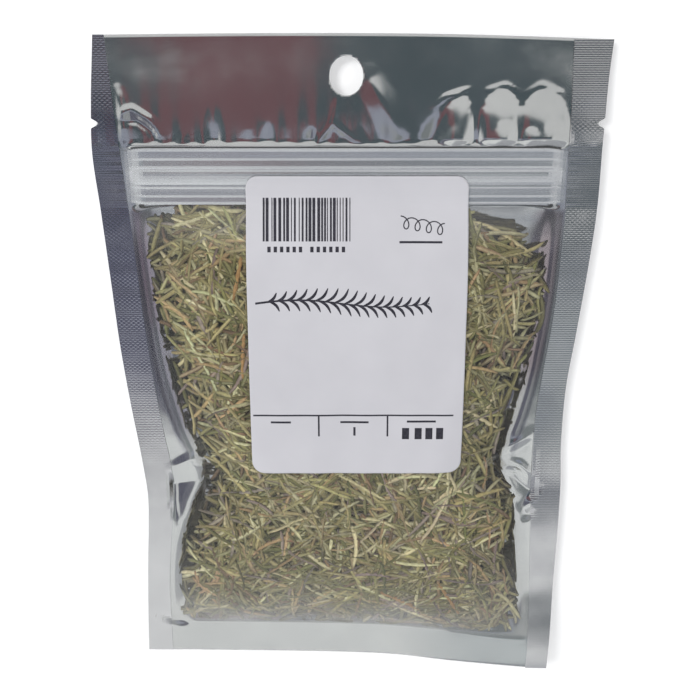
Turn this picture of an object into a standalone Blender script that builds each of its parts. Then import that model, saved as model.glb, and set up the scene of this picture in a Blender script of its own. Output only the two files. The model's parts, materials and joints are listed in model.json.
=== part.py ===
"""A flat three-side-seal pouch of dried rosemary leaves, lying on its back.

The pouch has a clear front film and a metallised back film, heat sealed down
both sides and across the bottom, a press-to-close strip under the header, a
hang hole in the header, a tear notch in each side and a paper label stuck on
the front. Inside lies a packed bed of dried leaves with separate leaves and a
few bits of stem on top of it.

+Z is up (out of the front film), +Y runs towards the hang hole and +X to the
reader's right. The origin is the middle of the footprint, on the surface that
the pouch lies on. Lengths in this file are millimetres until a mesh is made.
"""

import math
import random

import bmesh
import bpy
import numpy as np

MM = 0.001

# ---- driving dimensions -------------------------------------------------
FILM = 0.30            # film thickness as a solid
SEAL_GAP = 0.10        # gap that keeps the two fused films apart as solids
BACK_DEPTH = 3.00      # how far the filled back sags below the seal plane
SEAL_Z = BACK_DEPTH + SEAL_GAP / 2 + FILM   # height of the seal plane
FRONT_RISE = 8.6       # highest rise of the front film over the seal plane
BOTTOM_SEAL = 10.5     # height of the bottom seal
ZIP_Y = 46.2           # middle of the press-to-close strip
ZIP_HALF = 7.0         # half the height of its two webs
ZIP_LEFT, ZIP_RIGHT = -53.0, 51.0
ZIP_RISE_FRONT = 1.55
ZIP_RISE_BACK = 1.25
HOLE_X, HOLE_Y = -0.9, 70.5
HOLE_W, HOLE_H = 8.3, 9.2
NOTCH_Y = 59.2
NOTCH_DEPTH, NOTCH_HALF = 2.0, 0.9
LABEL_X = (-26.7, 30.4)
LABEL_Y = (-32.6, 46.4)
LABEL_R = 3.2
LABEL_T = 0.20
CORNER_LIFT = 3.6      # the bottom right corner curls up by this much
LEAVES = 46
STEM_BITS = 4

# Stations down the pouch: (y, x) of the left edge and of the right edge.
LEFT_EDGE = [(-96.5, -62.2), (-84, -61.5), (-63.5, -60.0), (-53.5, -59.1), (-43.8, -58.6),
             (-34, -59.3), (-16, -61.2), (1.5, -62.7), (18, -63.6), (38, -64.6),
             (53, -65.4), (64, -64.6), (80, -63.0)]
RIGHT_EDGE = [(-100.6, 60.2), (-89, 60.7), (-68.5, 61.1), (-48.5, 61.0), (-39, 60.7),
              (-29.5, 60.0), (-20.5, 59.8), (-11.5, 59.9), (5.5, 61.5), (22, 63.0),
              (38, 64.0), (56.5, 63.9), (70.5, 64.2), (79, 64.8)]
# Stations across the pouch: (share of the width, y) of the top and bottom edge.
TOP_EDGE = [(0, 80.0), (0.17, 80.25), (0.34, 80.35), (0.51, 80.3), (0.68, 80.1), (0.85, 79.6), (1, 79.0)]
BOTTOM_EDGE = [(0, -96.5), (0.25, -96.9), (0.5, -97.5), (0.63, -98.2), (0.75, -99.3), (0.87, -99.9), (1, -100.6)]
# Where the two films part beside the fill: (y, x), pinched at the waist.
PART_LEFT = [(-96, -57.0), (-80, -56.0), (-62, -54.0), (-48, -49.5), (-36, -46.0),
             (-22, -50.0), (-8, -53.3), (10, -55.4), (30, -56.6), (80, -57.6)]
PART_RIGHT = [(-96, 54.6), (-80, 54.2), (-62, 52.5), (-46, 50.5), (-32, 46.6),
              (-20, 49.6), (-8, 52.2), (10, 54.3), (30, 55.4), (80, 55.4)]
# The outline of the leaf fill: (y, x).
FILL_LEFT = [(-85, -51.5), (-73, -51.0), (-63, -49.6), (-52, -45.8), (-44, -42.2), (-36, -39.6),
             (-28, -42.2), (-19, -45.4), (-8, -48.6), (4, -49.4), (15, -50.4), (25, -51.4), (37, -51.8)]
FILL_RIGHT = [(-88, 50.6), (-73, 48.2), (-63, 46.8), (-53, 47.0), (-44, 47.8), (-32, 40.4),
              (-28, 41.4), (-19, 43.8), (-10, 46.4), (-2, 48.4), (6, 50.4), (15, 51.2), (25, 50.4), (34, 47.6)]


def smooth(stations):
    """A smooth curve through (position, value) stations, as a function of arrays."""
    p = np.array([s[0] for s in stations], float)
    v = np.array([s[1] for s in stations], float)
    slope = np.gradient(v, p)

    def value(x):
        x = np.clip(np.asarray(x, float), p[0], p[-1])
        i = np.clip(np.searchsorted(p, x, side="right") - 1, 0, len(p) - 2)
        h = p[i + 1] - p[i]
        t = (x - p[i]) / h
        return (
            (2 * t**3 - 3 * t**2 + 1) * v[i]
            + (t**3 - 2 * t**2 + t) * h * slope[i]
            + (-2 * t**3 + 3 * t**2) * v[i + 1]
            + (t**3 - t**2) * h * slope[i + 1]
        )

    return value


left_edge, right_edge = smooth(LEFT_EDGE), smooth(RIGHT_EDGE)
top_edge, bottom_edge = smooth(TOP_EDGE), smooth(BOTTOM_EDGE)
part_left, part_right = smooth(PART_LEFT), smooth(PART_RIGHT)
fill_left, fill_right = smooth(FILL_LEFT), smooth(FILL_RIGHT)


def plan(u, v):
    """The plan position of a share across (u) and up (v) the pouch."""
    y = (1 - v) * bottom_edge(u) + v * top_edge(u)
    yl = (1 - v) * bottom_edge(0) + v * top_edge(0)
    yr = (1 - v) * bottom_edge(1) + v * top_edge(1)
    x = (1 - u) * left_edge(yl) + u * right_edge(yr)
    return x, y


def ease(t):
    t = np.clip(t, 0, 1)
    return t * t * (3 - 2 * t)


def swell(t):
    """0 at the seam, 1 from a share of 1 inwards: the round shoulder of a fill."""
    return np.sin(np.clip(t, 0, 1) * math.pi / 2) ** 0.9


def seal_plane(x, y):
    """The height of the plane that the sealed rims lie in."""
    lift = CORNER_LIFT * ease((x - 5) / 58) * ease((-70 - y) / 32)
    wave = 0.35 * np.sin(x / 17.0 + 0.8) * ease((y - 56) / 24)
    droop = -0.9 * ease((y - 58) / 26)
    return SEAL_Z + lift + wave + droop


def pocket(x, y, reach_side, reach_end):
    """0 at the seams to 1 in the full middle of the pocket."""
    floor_y = bottom_edge((x + 62) / 124) + BOTTOM_SEAL
    return (
        swell((x - part_left(y)) / reach_side)
        * swell((part_right(y) - x) / reach_side)
        * swell((y - floor_y) / reach_end)
        * swell((ZIP_Y - ZIP_HALF + 3 - y) / reach_end)
    )


def zip_hump(x, y):
    """The hump that the press-to-close strip makes in both films."""
    along = ease((x - ZIP_LEFT + 4.5) / 4.0) * ease((ZIP_RIGHT + 4.5 - x) / 4.0)
    return along * ease((ZIP_HALF + 5.0 - abs(y - ZIP_Y)) / 2.6)


def rise_of(y):
    """The fill is thicker low down, where the leaves have settled."""
    return FRONT_RISE * (0.62 + 0.38 * ease((38 - y) / 75))


def front_low(x, y):
    """The under side of the front film."""
    full = rise_of(y) * pocket(x, y, 26, 26)
    return seal_plane(x, y) + SEAL_GAP / 2 + np.maximum(full, ZIP_RISE_FRONT * zip_hump(x, y))


def back_high(x, y):
    """The upper side of the back film."""
    full = BACK_DEPTH * pocket(x, y, 13, 15)
    lifted = seal_plane(x, y) - SEAL_GAP / 2 - np.maximum(full, ZIP_RISE_BACK * zip_hump(x, y))
    return np.maximum(lifted, FILM)


# The middle of the footprint, which becomes the origin.
_u, _v = np.meshgrid(np.linspace(0, 1, 121), np.linspace(0, 1, 161))
_x, _y = plan(_u, _v)
MIDDLE = ((_x.min() + _x.max()) / 2, (_y.min() + _y.max()) / 2)


def placed(x, y, z):
    return ((float(x) - MIDDLE[0]) * MM, (float(y) - MIDDLE[1]) * MM, float(z) * MM)


def material(name, colour, rough, metal, alpha=1.0):
    m = bpy.data.materials.new(name)
    m.use_nodes = True
    shader = m.node_tree.nodes["Principled BSDF"]
    shader.inputs["Base Color"].default_value = (*colour, 1)
    shader.inputs["Roughness"].default_value = rough
    shader.inputs["Metallic"].default_value = metal
    shader.inputs["Alpha"].default_value = alpha
    return m


def finish(name, mesh_bm, look, flat=False):
    bmesh.ops.recalc_face_normals(mesh_bm, faces=mesh_bm.faces)
    mesh = bpy.data.meshes.new(name)
    mesh_bm.to_mesh(mesh)
    mesh_bm.free()
    if not flat:
        mesh.shade_smooth()
        mesh.set_sharp_from_angle(angle=math.radians(40))
    obj = bpy.data.objects.new(name, mesh)
    bpy.context.scene.collection.objects.link(obj)
    obj.data.materials.append(look)
    return obj


def slab(name, px, py, low, high, look):
    """A closed sheet over a grid of plan points, between two heights."""
    rows, cols = px.shape
    bm = bmesh.new()
    layers = []
    for z in (low, high):
        layers.append([[bm.verts.new(placed(px[r, c], py[r, c], z[r, c])) for c in range(cols)] for r in range(rows)])
    for r in range(rows - 1):
        for c in range(cols - 1):
            for layer, turn in ((layers[0], -1), (layers[1], 1)):
                quad = [layer[r][c], layer[r][c + 1], layer[r + 1][c + 1], layer[r + 1][c]]
                bm.faces.new(quad[::turn])
    rim = [(0, c) for c in range(cols)] + [(r, cols - 1) for r in range(1, rows)]
    rim += [(rows - 1, c) for c in range(cols - 2, -1, -1)] + [(r, 0) for r in range(rows - 2, 0, -1)]
    for (r0, c0), (r1, c1) in zip(rim, rim[1:] + rim[:1]):
        bm.faces.new([layers[0][r0][c0], layers[0][r1][c1], layers[1][r1][c1], layers[1][r0][c0]])
    bmesh.ops.triangulate(bm, faces=bm.faces)
    return finish(name, bm, look)


def cutter(name, points, low, high):
    """An upright prism that films are cut with. It isn't part of the object."""
    bm = bmesh.new()
    base = bm.faces.new([bm.verts.new(placed(x, y, low)) for x, y in points])
    top = bmesh.ops.extrude_face_region(bm, geom=[base])["geom"]
    bmesh.ops.translate(bm, vec=(0, 0, (high - low) * MM), verts=[g for g in top if isinstance(g, bmesh.types.BMVert)])
    obj = finish(name, bm, bpy.data.materials.new(name), flat=True)
    obj.hide_render = True
    obj.display_type = "WIRE"
    return obj


def needle(name, centre, half_w, half_t, look, sides=5):
    """A lance-shaped leaf: flattened rings along a centre line, pointed at both ends."""
    bm = bmesh.new()
    n = len(centre)
    rings = []
    for i in range(1, n - 1):
        ahead = centre[i + 1] - centre[i - 1]
        ahead /= np.linalg.norm(ahead)
        side = np.cross([0, 0, 1.0], ahead)
        side /= np.linalg.norm(side)
        up = np.cross(ahead, side)
        swell_here = math.sin(math.pi * (0.5 + (i - n / 2 + 0.5) / (n + 1.5)))
        ring = []
        for k in range(sides):
            a = 2 * math.pi * (k + 0.25) / sides
            p = centre[i] + side * math.cos(a) * half_w * swell_here + up * math.sin(a) * half_t
            ring.append(bm.verts.new(placed(*p)))
        rings.append(ring)
    for a, b in zip(rings, rings[1:]):
        for k in range(sides):
            bm.faces.new([a[k], a[(k + 1) % sides], b[(k + 1) % sides], b[k]])
    for ring, tip in ((rings[0], centre[0]), (rings[-1], centre[-1])):
        end = bm.verts.new(placed(*tip))
        for k in range(sides):
            bm.faces.new([ring[k], ring[(k + 1) % sides], end])
    bmesh.ops.triangulate(bm, faces=bm.faces)
    return finish(name, bm, look)


def loose_pieces():
    """Where each loose leaf and stem bit lies: plan centre line, half width, half thickness."""
    rng = random.Random(411)
    found = []
    tries = 0
    while len(found) < LEAVES + STEM_BITS and tries < 20000:
        tries += 1
        stem = len(found) >= LEAVES
        x, y = rng.uniform(-47, 47), rng.uniform(-80, 33)
        length = rng.uniform(9, 16) if stem else rng.uniform(9, 17)
        yaw = rng.uniform(0, math.pi)
        bend = rng.uniform(-0.02, 0.02) if stem else rng.uniform(-0.12, 0.12)
        half_w = rng.uniform(0.5, 0.7) if stem else rng.uniform(0.55, 0.75)
        t = np.linspace(-0.5, 0.5, 6)
        px = x + length * (t * math.cos(yaw) - bend * (1 - 4 * t * t) * math.sin(yaw))
        py = y + length * (t * math.sin(yaw) + bend * (1 - 4 * t * t) * math.cos(yaw))
        if (px - fill_left(py) < 3.5).any() or (fill_right(py) - px < 3.5).any():
            continue
        if py.max() > 32 or py.min() < -82:
            continue
        under = (px > LABEL_X[0] - 1) & (px < LABEL_X[1] + 1) & (py > LABEL_Y[0] - 1)
        if under.any():
            continue
        if any((np.hypot(px[:, None] - q[0], py[:, None] - q[1]).min() < 3.4) for q in found):
            continue
        found.append((px, py, half_w, 0.45 if stem else 0.40, stem))
    return found


def build():
    for obj in list(bpy.data.objects):
        bpy.data.objects.remove(obj)

    film_clear = material("clear_film", (0.93, 0.94, 0.95), 0.12, 0.0, 0.25)
    film_metal = material("metallised_film", (0.70, 0.71, 0.73), 0.25, 1.0)
    strip = material("zip_plastic", (0.85, 0.86, 0.88), 0.3, 0.0, 0.6)
    paper = material("label_paper", (0.88, 0.88, 0.89), 0.6, 0.0)
    bed_look = material("leaf_bed", (0.23, 0.22, 0.10), 0.8, 0.0)
    leaf_looks = [
        material("leaf_green", (0.30, 0.32, 0.14), 0.7, 0.0),
        material("leaf_khaki", (0.38, 0.36, 0.18), 0.7, 0.0),
        material("leaf_brown", (0.36, 0.24, 0.11), 0.75, 0.0),
    ]
    twig = material("stem_bark", (0.42, 0.30, 0.18), 0.8, 0.0)

    # The two films share one grid, so they lie parallel where they are fused.
    across = np.array([0, 0.035, 0.065, 0.09, 0.12, 0.16, 0.21, 0.28, 0.37, 0.50,
                       0.63, 0.72, 0.79, 0.84, 0.88, 0.91, 0.935, 0.965, 1.0])
    ups = np.array([1.0, 0.94, 0.875, 0.8605, 0.808, 0.772, 0.75, 0.73, 0.70, 0.65,
                    0.58, 0.50, 0.42, 0.36, 0.31, 0.25, 0.18, 0.125, 0.09, 0.06, 0.0])
    u, v = np.meshgrid(across, ups)
    px, py = plan(u, v)
    high = back_high(px, py)
    low = front_low(px, py)
    back = slab("back_film", px, py, high - FILM, high, film_metal)
    front = slab("front_film", px, py, low, low + FILM, film_clear)

    hole = [(HOLE_X + HOLE_W / 2 * math.cos(a), HOLE_Y + HOLE_H / 2 * math.sin(a))
            for a in (2 * math.pi * k / 28 for k in range(28))]
    cutters = [cutter("cut_hang_hole", hole, -5, 15)]
    for side, edge in (("left", left_edge), ("right", right_edge)):
        out = -1 if side == "left" else 1
        x = float(edge(NOTCH_Y))
        wedge = [(x + out * 3, NOTCH_Y - 3.2 * NOTCH_HALF), (x + out * 3, NOTCH_Y + 3.2 * NOTCH_HALF),
                 (x - out * NOTCH_DEPTH, NOTCH_Y + 0.15), (x - out * NOTCH_DEPTH, NOTCH_Y - 0.15)]
        cutters.append(cutter("cut_notch_" + side, wedge, -5, 15))
    for film in (back, front):
        for cut in cutters:
            mod = film.modifiers.new(cut.name, "BOOLEAN")
            mod.object = cut
            mod.operation = "DIFFERENCE"
            mod.solver = "EXACT"

    # The press-to-close strip: a web with two hooked walls, and a web with a
    # headed rib that snaps between them. Profiles are (y, z) about its middle.
    groove = [(-7, -1.05), (7, -1.05), (7, -0.75), (1.5, -0.75), (1.5, 0.35), (0.55, 0.35),
              (0.55, 0.1), (1.0, 0.1), (1.0, -0.75), (-1.0, -0.75), (-1.0, 0.1), (-0.55, 0.1),
              (-0.55, 0.35), (-1.5, 0.35), (-1.5, -0.75), (-7, -0.75)]
    rib = [(-7, 1.3), (-7, 1.0), (-0.28, 1.0), (-0.28, -0.1), (-0.65, -0.1), (-0.4, -0.45),
           (0.4, -0.45), (0.65, -0.1), (0.28, -0.1), (0.28, 1.0), (7, 1.0), (7, 1.3)]
    for name, profile in (("zip_groove_strip", groove), ("zip_rib_strip", rib)):
        bm = bmesh.new()
        base = bm.faces.new([bm.verts.new(placed(ZIP_LEFT, ZIP_Y + y, SEAL_Z + z)) for y, z in profile])
        far = bmesh.ops.extrude_face_region(bm, geom=[base])["geom"]
        bmesh.ops.translate(bm, vec=((ZIP_RIGHT - ZIP_LEFT) * MM, 0, 0),
                            verts=[g for g in far if isinstance(g, bmesh.types.BMVert)])
        bmesh.ops.triangulate(bm, faces=bm.faces)
        finish(name, bm, strip, flat=True)

    # The label follows the front film. Its corner points are pulled in to round it.
    lx = np.array([0, 0.02, 0.056, 0.20, 0.40, 0.60, 0.80, 0.944, 0.98, 1])
    ly = np.array([0, 0.015, 0.04, 0.15, 0.28, 0.42, 0.56, 0.68, 0.78, 0.86, 0.90, 0.93, 0.96, 0.985, 1])
    gu, gv = np.meshgrid(lx, ly)
    gx = LABEL_X[0] + gu * (LABEL_X[1] - LABEL_X[0])
    gy = LABEL_Y[0] + gv * (LABEL_Y[1] - LABEL_Y[0])
    mid_x, mid_y = sum(LABEL_X) / 2, sum(LABEL_Y) / 2
    half_x, half_y = (LABEL_X[1] - LABEL_X[0]) / 2, (LABEL_Y[1] - LABEL_Y[0]) / 2
    ax, ay = abs(gx - mid_x) - (half_x - LABEL_R), abs(gy - mid_y) - (half_y - LABEL_R)
    corner = (ax > 0) & (ay > 0)
    # A square corner patch is mapped to a quarter disc, ring by ring.
    far = np.maximum(ax, ay)
    length = np.hypot(ax, ay)
    pull = np.where(corner, far / np.maximum(length, 1e-9), 1.0)
    gx = np.where(corner, mid_x + np.sign(gx - mid_x) * (half_x - LABEL_R + ax * pull), gx)
    gy = np.where(corner, mid_y + np.sign(gy - mid_y) * (half_y - LABEL_R + ay * pull), gy)
    base = front_low(gx, gy) + FILM + 0.28
    slab("paper_label", gx, gy, base, base + LABEL_T, paper)

    # The packed bed of leaves fills the pocket under the loose top layer.
    bu, bv = np.meshgrid(np.array([0, 0.05, 0.12, 0.22, 0.36, 0.5, 0.64, 0.78, 0.88, 0.95, 1]),
                         np.array([0, 0.05, 0.12, 0.22, 0.32, 0.42, 0.52, 0.64, 0.76, 0.88, 0.95, 1]))
    by = -83.5 + bv * (33.0 + 83.5) - bu * bu * (1 - bv) * 3.0
    bx = (fill_left(by) + 1.0) * (1 - bu) + (fill_right(by) - 1.0) * bu
    low = back_high(bx, by) + 0.35
    high = np.maximum(front_low(bx, by) - 2.1, low + 0.6)
    slab("leaf_bed", bx, by, low, high, bed_look)

    for i, (x, y, half_w, half_t, stem) in enumerate(loose_pieces()):
        z = front_low(x, y) - 1.2
        centre = np.stack([x, y, z], axis=1)
        if stem:
            needle(f"stem_bit_{i - LEAVES + 1:02d}", centre, half_w, half_t, twig)
        else:
            needle(f"leaf_{i + 1:02d}", centre, half_w, half_t, leaf_looks[i % 3])


build()
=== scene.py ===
"""The looks of a flat pouch of dried rosemary leaves lying on its back.

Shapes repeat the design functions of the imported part, in millimetres, and each
mesh is placed in metres in the part's own frame.
"""

import json
import math
import random

import bpy
import numpy as np
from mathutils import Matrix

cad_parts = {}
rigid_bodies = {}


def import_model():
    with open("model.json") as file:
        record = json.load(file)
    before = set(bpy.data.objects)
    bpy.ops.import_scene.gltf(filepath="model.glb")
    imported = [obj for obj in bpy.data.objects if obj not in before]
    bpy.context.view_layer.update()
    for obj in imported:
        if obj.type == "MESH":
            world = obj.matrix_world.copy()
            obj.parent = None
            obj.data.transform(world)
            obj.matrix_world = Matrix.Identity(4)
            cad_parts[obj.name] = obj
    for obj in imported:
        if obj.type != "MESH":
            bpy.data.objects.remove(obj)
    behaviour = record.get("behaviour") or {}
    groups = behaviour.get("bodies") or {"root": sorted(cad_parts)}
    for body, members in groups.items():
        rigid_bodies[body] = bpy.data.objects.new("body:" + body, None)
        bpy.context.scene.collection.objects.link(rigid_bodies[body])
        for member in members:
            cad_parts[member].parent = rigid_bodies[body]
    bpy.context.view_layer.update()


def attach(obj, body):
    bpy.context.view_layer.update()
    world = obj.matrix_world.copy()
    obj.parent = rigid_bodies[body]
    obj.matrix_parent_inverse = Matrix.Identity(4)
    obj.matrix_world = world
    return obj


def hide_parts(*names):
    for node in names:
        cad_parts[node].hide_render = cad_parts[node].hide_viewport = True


for _o in list(bpy.data.objects):
    bpy.data.objects.remove(_o)

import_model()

MM = 0.001

# ---------------------------------------------------------------- the design
FILM = 0.30
SEAL_GAP = 0.10
BACK_DEPTH = 3.00
SEAL_Z = BACK_DEPTH + SEAL_GAP / 2 + FILM
FRONT_RISE = 8.6
BOTTOM_SEAL = 10.5
ZIP_Y = 46.2
ZIP_HALF = 7.0
ZIP_LEFT, ZIP_RIGHT = -53.0, 51.0
ZIP_RISE_FRONT = 1.55
ZIP_RISE_BACK = 1.25
HOLE_X, HOLE_Y = -0.9, 70.5
HOLE_W, HOLE_H = 8.3, 9.2
NOTCH_Y = 59.2
NOTCH_DEPTH, NOTCH_HALF = 2.0, 0.9
LABEL_X = (-26.7, 30.4)
LABEL_Y = (-32.6, 46.4)
LABEL_R = 3.2
CORNER_LIFT = 3.6
LEAVES = 46
STEM_BITS = 4

LEFT_EDGE = [(-96.5, -62.2), (-84, -61.5), (-63.5, -60.0), (-53.5, -59.1), (-43.8, -58.6),
             (-34, -59.3), (-16, -61.2), (1.5, -62.7), (18, -63.6), (38, -64.6),
             (53, -65.4), (64, -64.6), (80, -63.0)]
RIGHT_EDGE = [(-100.6, 60.2), (-89, 60.7), (-68.5, 61.1), (-48.5, 61.0), (-39, 60.7),
              (-29.5, 60.0), (-20.5, 59.8), (-11.5, 59.9), (5.5, 61.5), (22, 63.0),
              (38, 64.0), (56.5, 63.9), (70.5, 64.2), (79, 64.8)]
TOP_EDGE = [(0, 80.0), (0.17, 80.25), (0.34, 80.35), (0.51, 80.3), (0.68, 80.1), (0.85, 79.6), (1, 79.0)]
BOTTOM_EDGE = [(0, -96.5), (0.25, -96.9), (0.5, -97.5), (0.63, -98.2), (0.75, -99.3), (0.87, -99.9), (1, -100.6)]
PART_LEFT = [(-96, -55.0), (-80, -54.6), (-62, -53.0), (-48, -49.5), (-36, -46.0),
             (-22, -50.0), (-8, -53.3), (10, -55.4), (30, -56.6), (80, -57.6)]
PART_RIGHT = [(-96, 54.0), (-80, 53.6), (-62, 52.2), (-46, 50.5), (-32, 46.6),
              (-20, 49.6), (-8, 52.2), (10, 54.3), (30, 55.4), (80, 55.4)]
FILL_LEFT = [(-85, -51.5), (-73, -51.0), (-63, -49.6), (-52, -45.8), (-44, -42.2), (-36, -39.6),
             (-28, -42.2), (-19, -45.4), (-8, -48.6), (4, -49.4), (15, -50.4), (25, -51.4), (37, -51.8)]
FILL_RIGHT = [(-88, 50.6), (-73, 48.2), (-63, 46.8), (-53, 47.0), (-44, 47.8), (-32, 40.4),
              (-28, 41.4), (-19, 43.8), (-10, 46.4), (-2, 48.4), (6, 50.4), (15, 51.2), (25, 50.4), (34, 47.6)]
# The inner line of the ribbed side seals: (y, x).
SEAL_LEFT = [(-96.5, -54.8), (-80, -54.4), (-62, -53.2), (-50, -51.8), (-36, -51.2), (-23, -52.8), (-8, -54.4),
             (10, -55.8), (30, -56.9), (53, -58.5), (80, -60.3)]
SEAL_RIGHT = [(-100.6, 53.8), (-80, 54.2), (-62, 53.4), (-47, 52.6), (-36, 52.2), (-21, 52.0), (-8, 53.0),
              (7, 54.6), (32, 55.7), (59, 55.4), (79, 55.0)]


def smooth(stations):
    p = np.array([s[0] for s in stations], float)
    v = np.array([s[1] for s in stations], float)
    slope = np.gradient(v, p)

    def value(x):
        x = np.clip(np.asarray(x, float), p[0], p[-1])
        i = np.clip(np.searchsorted(p, x, side="right") - 1, 0, len(p) - 2)
        h = p[i + 1] - p[i]
        t = (x - p[i]) / h
        return (
            (2 * t**3 - 3 * t**2 + 1) * v[i]
            + (t**3 - 2 * t**2 + t) * h * slope[i]
            + (-2 * t**3 + 3 * t**2) * v[i + 1]
            + (t**3 - t**2) * h * slope[i + 1]
        )

    return value


left_edge, right_edge = smooth(LEFT_EDGE), smooth(RIGHT_EDGE)
top_edge, bottom_edge = smooth(TOP_EDGE), smooth(BOTTOM_EDGE)
part_left, part_right = smooth(PART_LEFT), smooth(PART_RIGHT)
fill_left, fill_right = smooth(FILL_LEFT), smooth(FILL_RIGHT)
seal_left, seal_right = smooth(SEAL_LEFT), smooth(SEAL_RIGHT)


def ease(t):
    t = np.clip(t, 0, 1)
    return t * t * (3 - 2 * t)


def swell(t):
    return np.sin(np.clip(t, 0, 1) * math.pi / 2) ** 0.9


def plan(u, v):
    y = (1 - v) * bottom_edge(u) + v * top_edge(u)
    yl = (1 - v) * bottom_edge(0) + v * top_edge(0)
    yr = (1 - v) * bottom_edge(1) + v * top_edge(1)
    x = (1 - u) * left_edge(yl) + u * right_edge(yr)
    return x, y


def seal_plane(x, y):
    lift = CORNER_LIFT * ease((x - 5) / 58) * ease((-70 - y) / 32)
    wave = 0.35 * np.sin(x / 17.0 + 0.8) * ease((y - 56) / 24)
    droop = -0.9 * ease((y - 58) / 26)
    return SEAL_Z + lift + wave + droop


def floor_line(x):
    return bottom_edge((x + 62) / 124) + BOTTOM_SEAL


def pocket(x, y, reach_side, reach_end):
    return (
        swell((x - part_left(y)) / reach_side)
        * swell((part_right(y) - x) / reach_side)
        * swell((y - floor_line(x)) / reach_end)
        * swell((ZIP_Y - ZIP_HALF + 3 - y) / reach_end)
    )


def rise_of(y):
    return FRONT_RISE * (0.62 + 0.38 * ease((38 - y) / 75))


_u, _v = np.meshgrid(np.linspace(0, 1, 121), np.linspace(0, 1, 161))
_x, _y = plan(_u, _v)
MIDDLE = ((_x.min() + _x.max()) / 2, (_y.min() + _y.max()) / 2)


def metres(p):
    """Design points (..., 3) in millimetres to metres in the part's frame."""
    q = np.array(p, float)
    q[..., 0] -= MIDDLE[0]
    q[..., 1] -= MIDDLE[1]
    return q * MM


# ------------------------------------------------------------ fine film shape
def ripple(x, y, wavelength, seed, terms=7):
    """Smooth seeded undulation between about -1 and 1."""
    rng = random.Random(seed)
    total = 0
    for _ in range(terms):
        a = rng.uniform(0, 2 * math.pi)
        k = 2 * math.pi / (wavelength * rng.uniform(0.7, 1.5))
        total = total + np.sin(k * (x * math.cos(a) + y * math.sin(a)) + rng.uniform(0, 6.28))
    return total / terms * 1.6


def crease(x, y, points, height, width, power=1.4):
    """A sharp fold line along a polyline, that fades at both ends."""
    best = np.full(np.shape(x), 1e9)
    along = np.zeros(np.shape(x))
    lengths = [math.dist(a, b) for a, b in zip(points, points[1:])]
    total, done = sum(lengths), 0.0
    for (ax, ay), (bx, by), ln in zip(points, points[1:], lengths):
        t = np.clip(((x - ax) * (bx - ax) + (y - ay) * (by - ay)) / (ln * ln), 0, 1)
        d = np.hypot(x - ax - t * (bx - ax), y - ay - t * (by - ay))
        near = d < best
        best = np.where(near, d, best)
        along = np.where(near, (done + t * ln) / total, along)
        done += ln
    fade = np.clip(np.sin(np.pi * np.clip(along * 0.9 + 0.05, 0, 1)), 0, 1) ** 0.7
    return height * fade * np.clip(1 - best / width, 0, 1) ** power


def lobe(x, y, cx, cy, rx, ry, height, lean=0.0, edge=0.35):
    """A rounded blister with a definite rim."""
    dx, dy = x - cx - lean * (y - cy), y - cy
    r = np.hypot(dx / rx, dy / ry)
    return height * ease((1 - r) / edge)


SHARED_CREASES = [
    # points, height, half width, sharpness
    ([(-42, -30.5), (-51.2, -35.4)], 0.35, 2.2, 1.2),
    ([(-51.0, -38.0), (-51.4, -46), (-50.6, -53)], -0.42, 1.5, 1.2),
    ([(39.5, -30), (46, -28.0), (51.5, -24.6)], 0.55, 2.2, 1.2),
    ([(43, -33), (48.5, -34.2), (52.2, -38)], 0.45, 1.7, 1.1),
    ([(45, -35.4), (50.0, -37.2)], -0.35, 1.2, 1.2),
    ([(52.6, -29), (53.0, -36), (53.6, -45)], -0.5, 1.5, 1.2),
    ([(-57, -84.6), (-49.5, -87.4)], -0.40, 2.2, 1.3),
    ([(-54, -86.2), (-48.5, -86.4)], -0.35, 1.4, 1.2),
    ([(30, -89.8), (46, -91.2), (52.5, -91.4)], 0.16, 0.9, 1.2),
    ([(25, -87.4), (33, -90.4)], 0.14, 1.1, 1.2),
]
VALLEYS = [
    # from, to, depth, reach above the line, reach below it
    ((-60.0, -41.6), (-40.5, -38.6), 1.05, 4.6, 11.5),
    ((37.5, -30.5), (54.5, -44.5), 1.15, 4.2, 7.5),
    ((42.0, -38.0), (53.0, -52.0), 0.45, 3.0, 3.0),
]


def valley(x, y, a, b, depth, above, below):
    """A fold: the film dips to a sharp line and rises at its own rate on each side."""
    ln = math.dist(a, b)
    ux, uy = (b[0] - a[0]) / ln, (b[1] - a[1]) / ln
    t = ((x - a[0]) * ux + (y - a[1]) * uy) / ln
    d = (y - a[1]) * ux - (x - a[0]) * uy
    reach = np.where(d > 0, above, below)
    fade = ease(t / 0.16) * ease((1 - t) / 0.12)
    return -depth * fade * np.clip(1 - np.abs(d) / reach, 0, 1)


HEADER_CREASES = [
    ([(-3.0, 65.0), (-4.5, 58.9)], 0.13, 0.9, 1.0),
    ([(-4.5, 59.4), (-8.4, 54.2)], 0.15, 1.1, 1.0),
    ([(-4.5, 59.4), (2.0, 54.4)], 0.15, 1.1, 1.0),
    ([(-58.2, 61.5), (-54.6, 62.8), (-50.4, 60.2), (-47.6, 55.4)], 0.24, 1.3, 1.0),
    ([(-57.4, 59.6), (-53.6, 59.8), (-50.0, 57.4), (-48.4, 54.4)], -0.22, 1.3, 1.0),
    ([(-57.8, 67.5), (-56.9, 62), (-57.2, 56)], 0.24, 1.5, 1.0),
    ([(21, 63.2), (24, 65.6), (30.0, 67.6)], 0.20, 1.0, 1.0),
    ([(32.2, 63), (34.0, 67.0), (38.5, 68.4), (42.6, 66.4)], 0.10, 1.0, 1.0),
    ([(43.2, 66), (47.5, 68.4), (52.5, 66.4), (54.4, 61)], 0.10, 1.0, 1.0),
    ([(4.6, 69.8), (8.4, 64), (13.2, 55.0)], 0.42, 4.4, 1.0),
]
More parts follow.
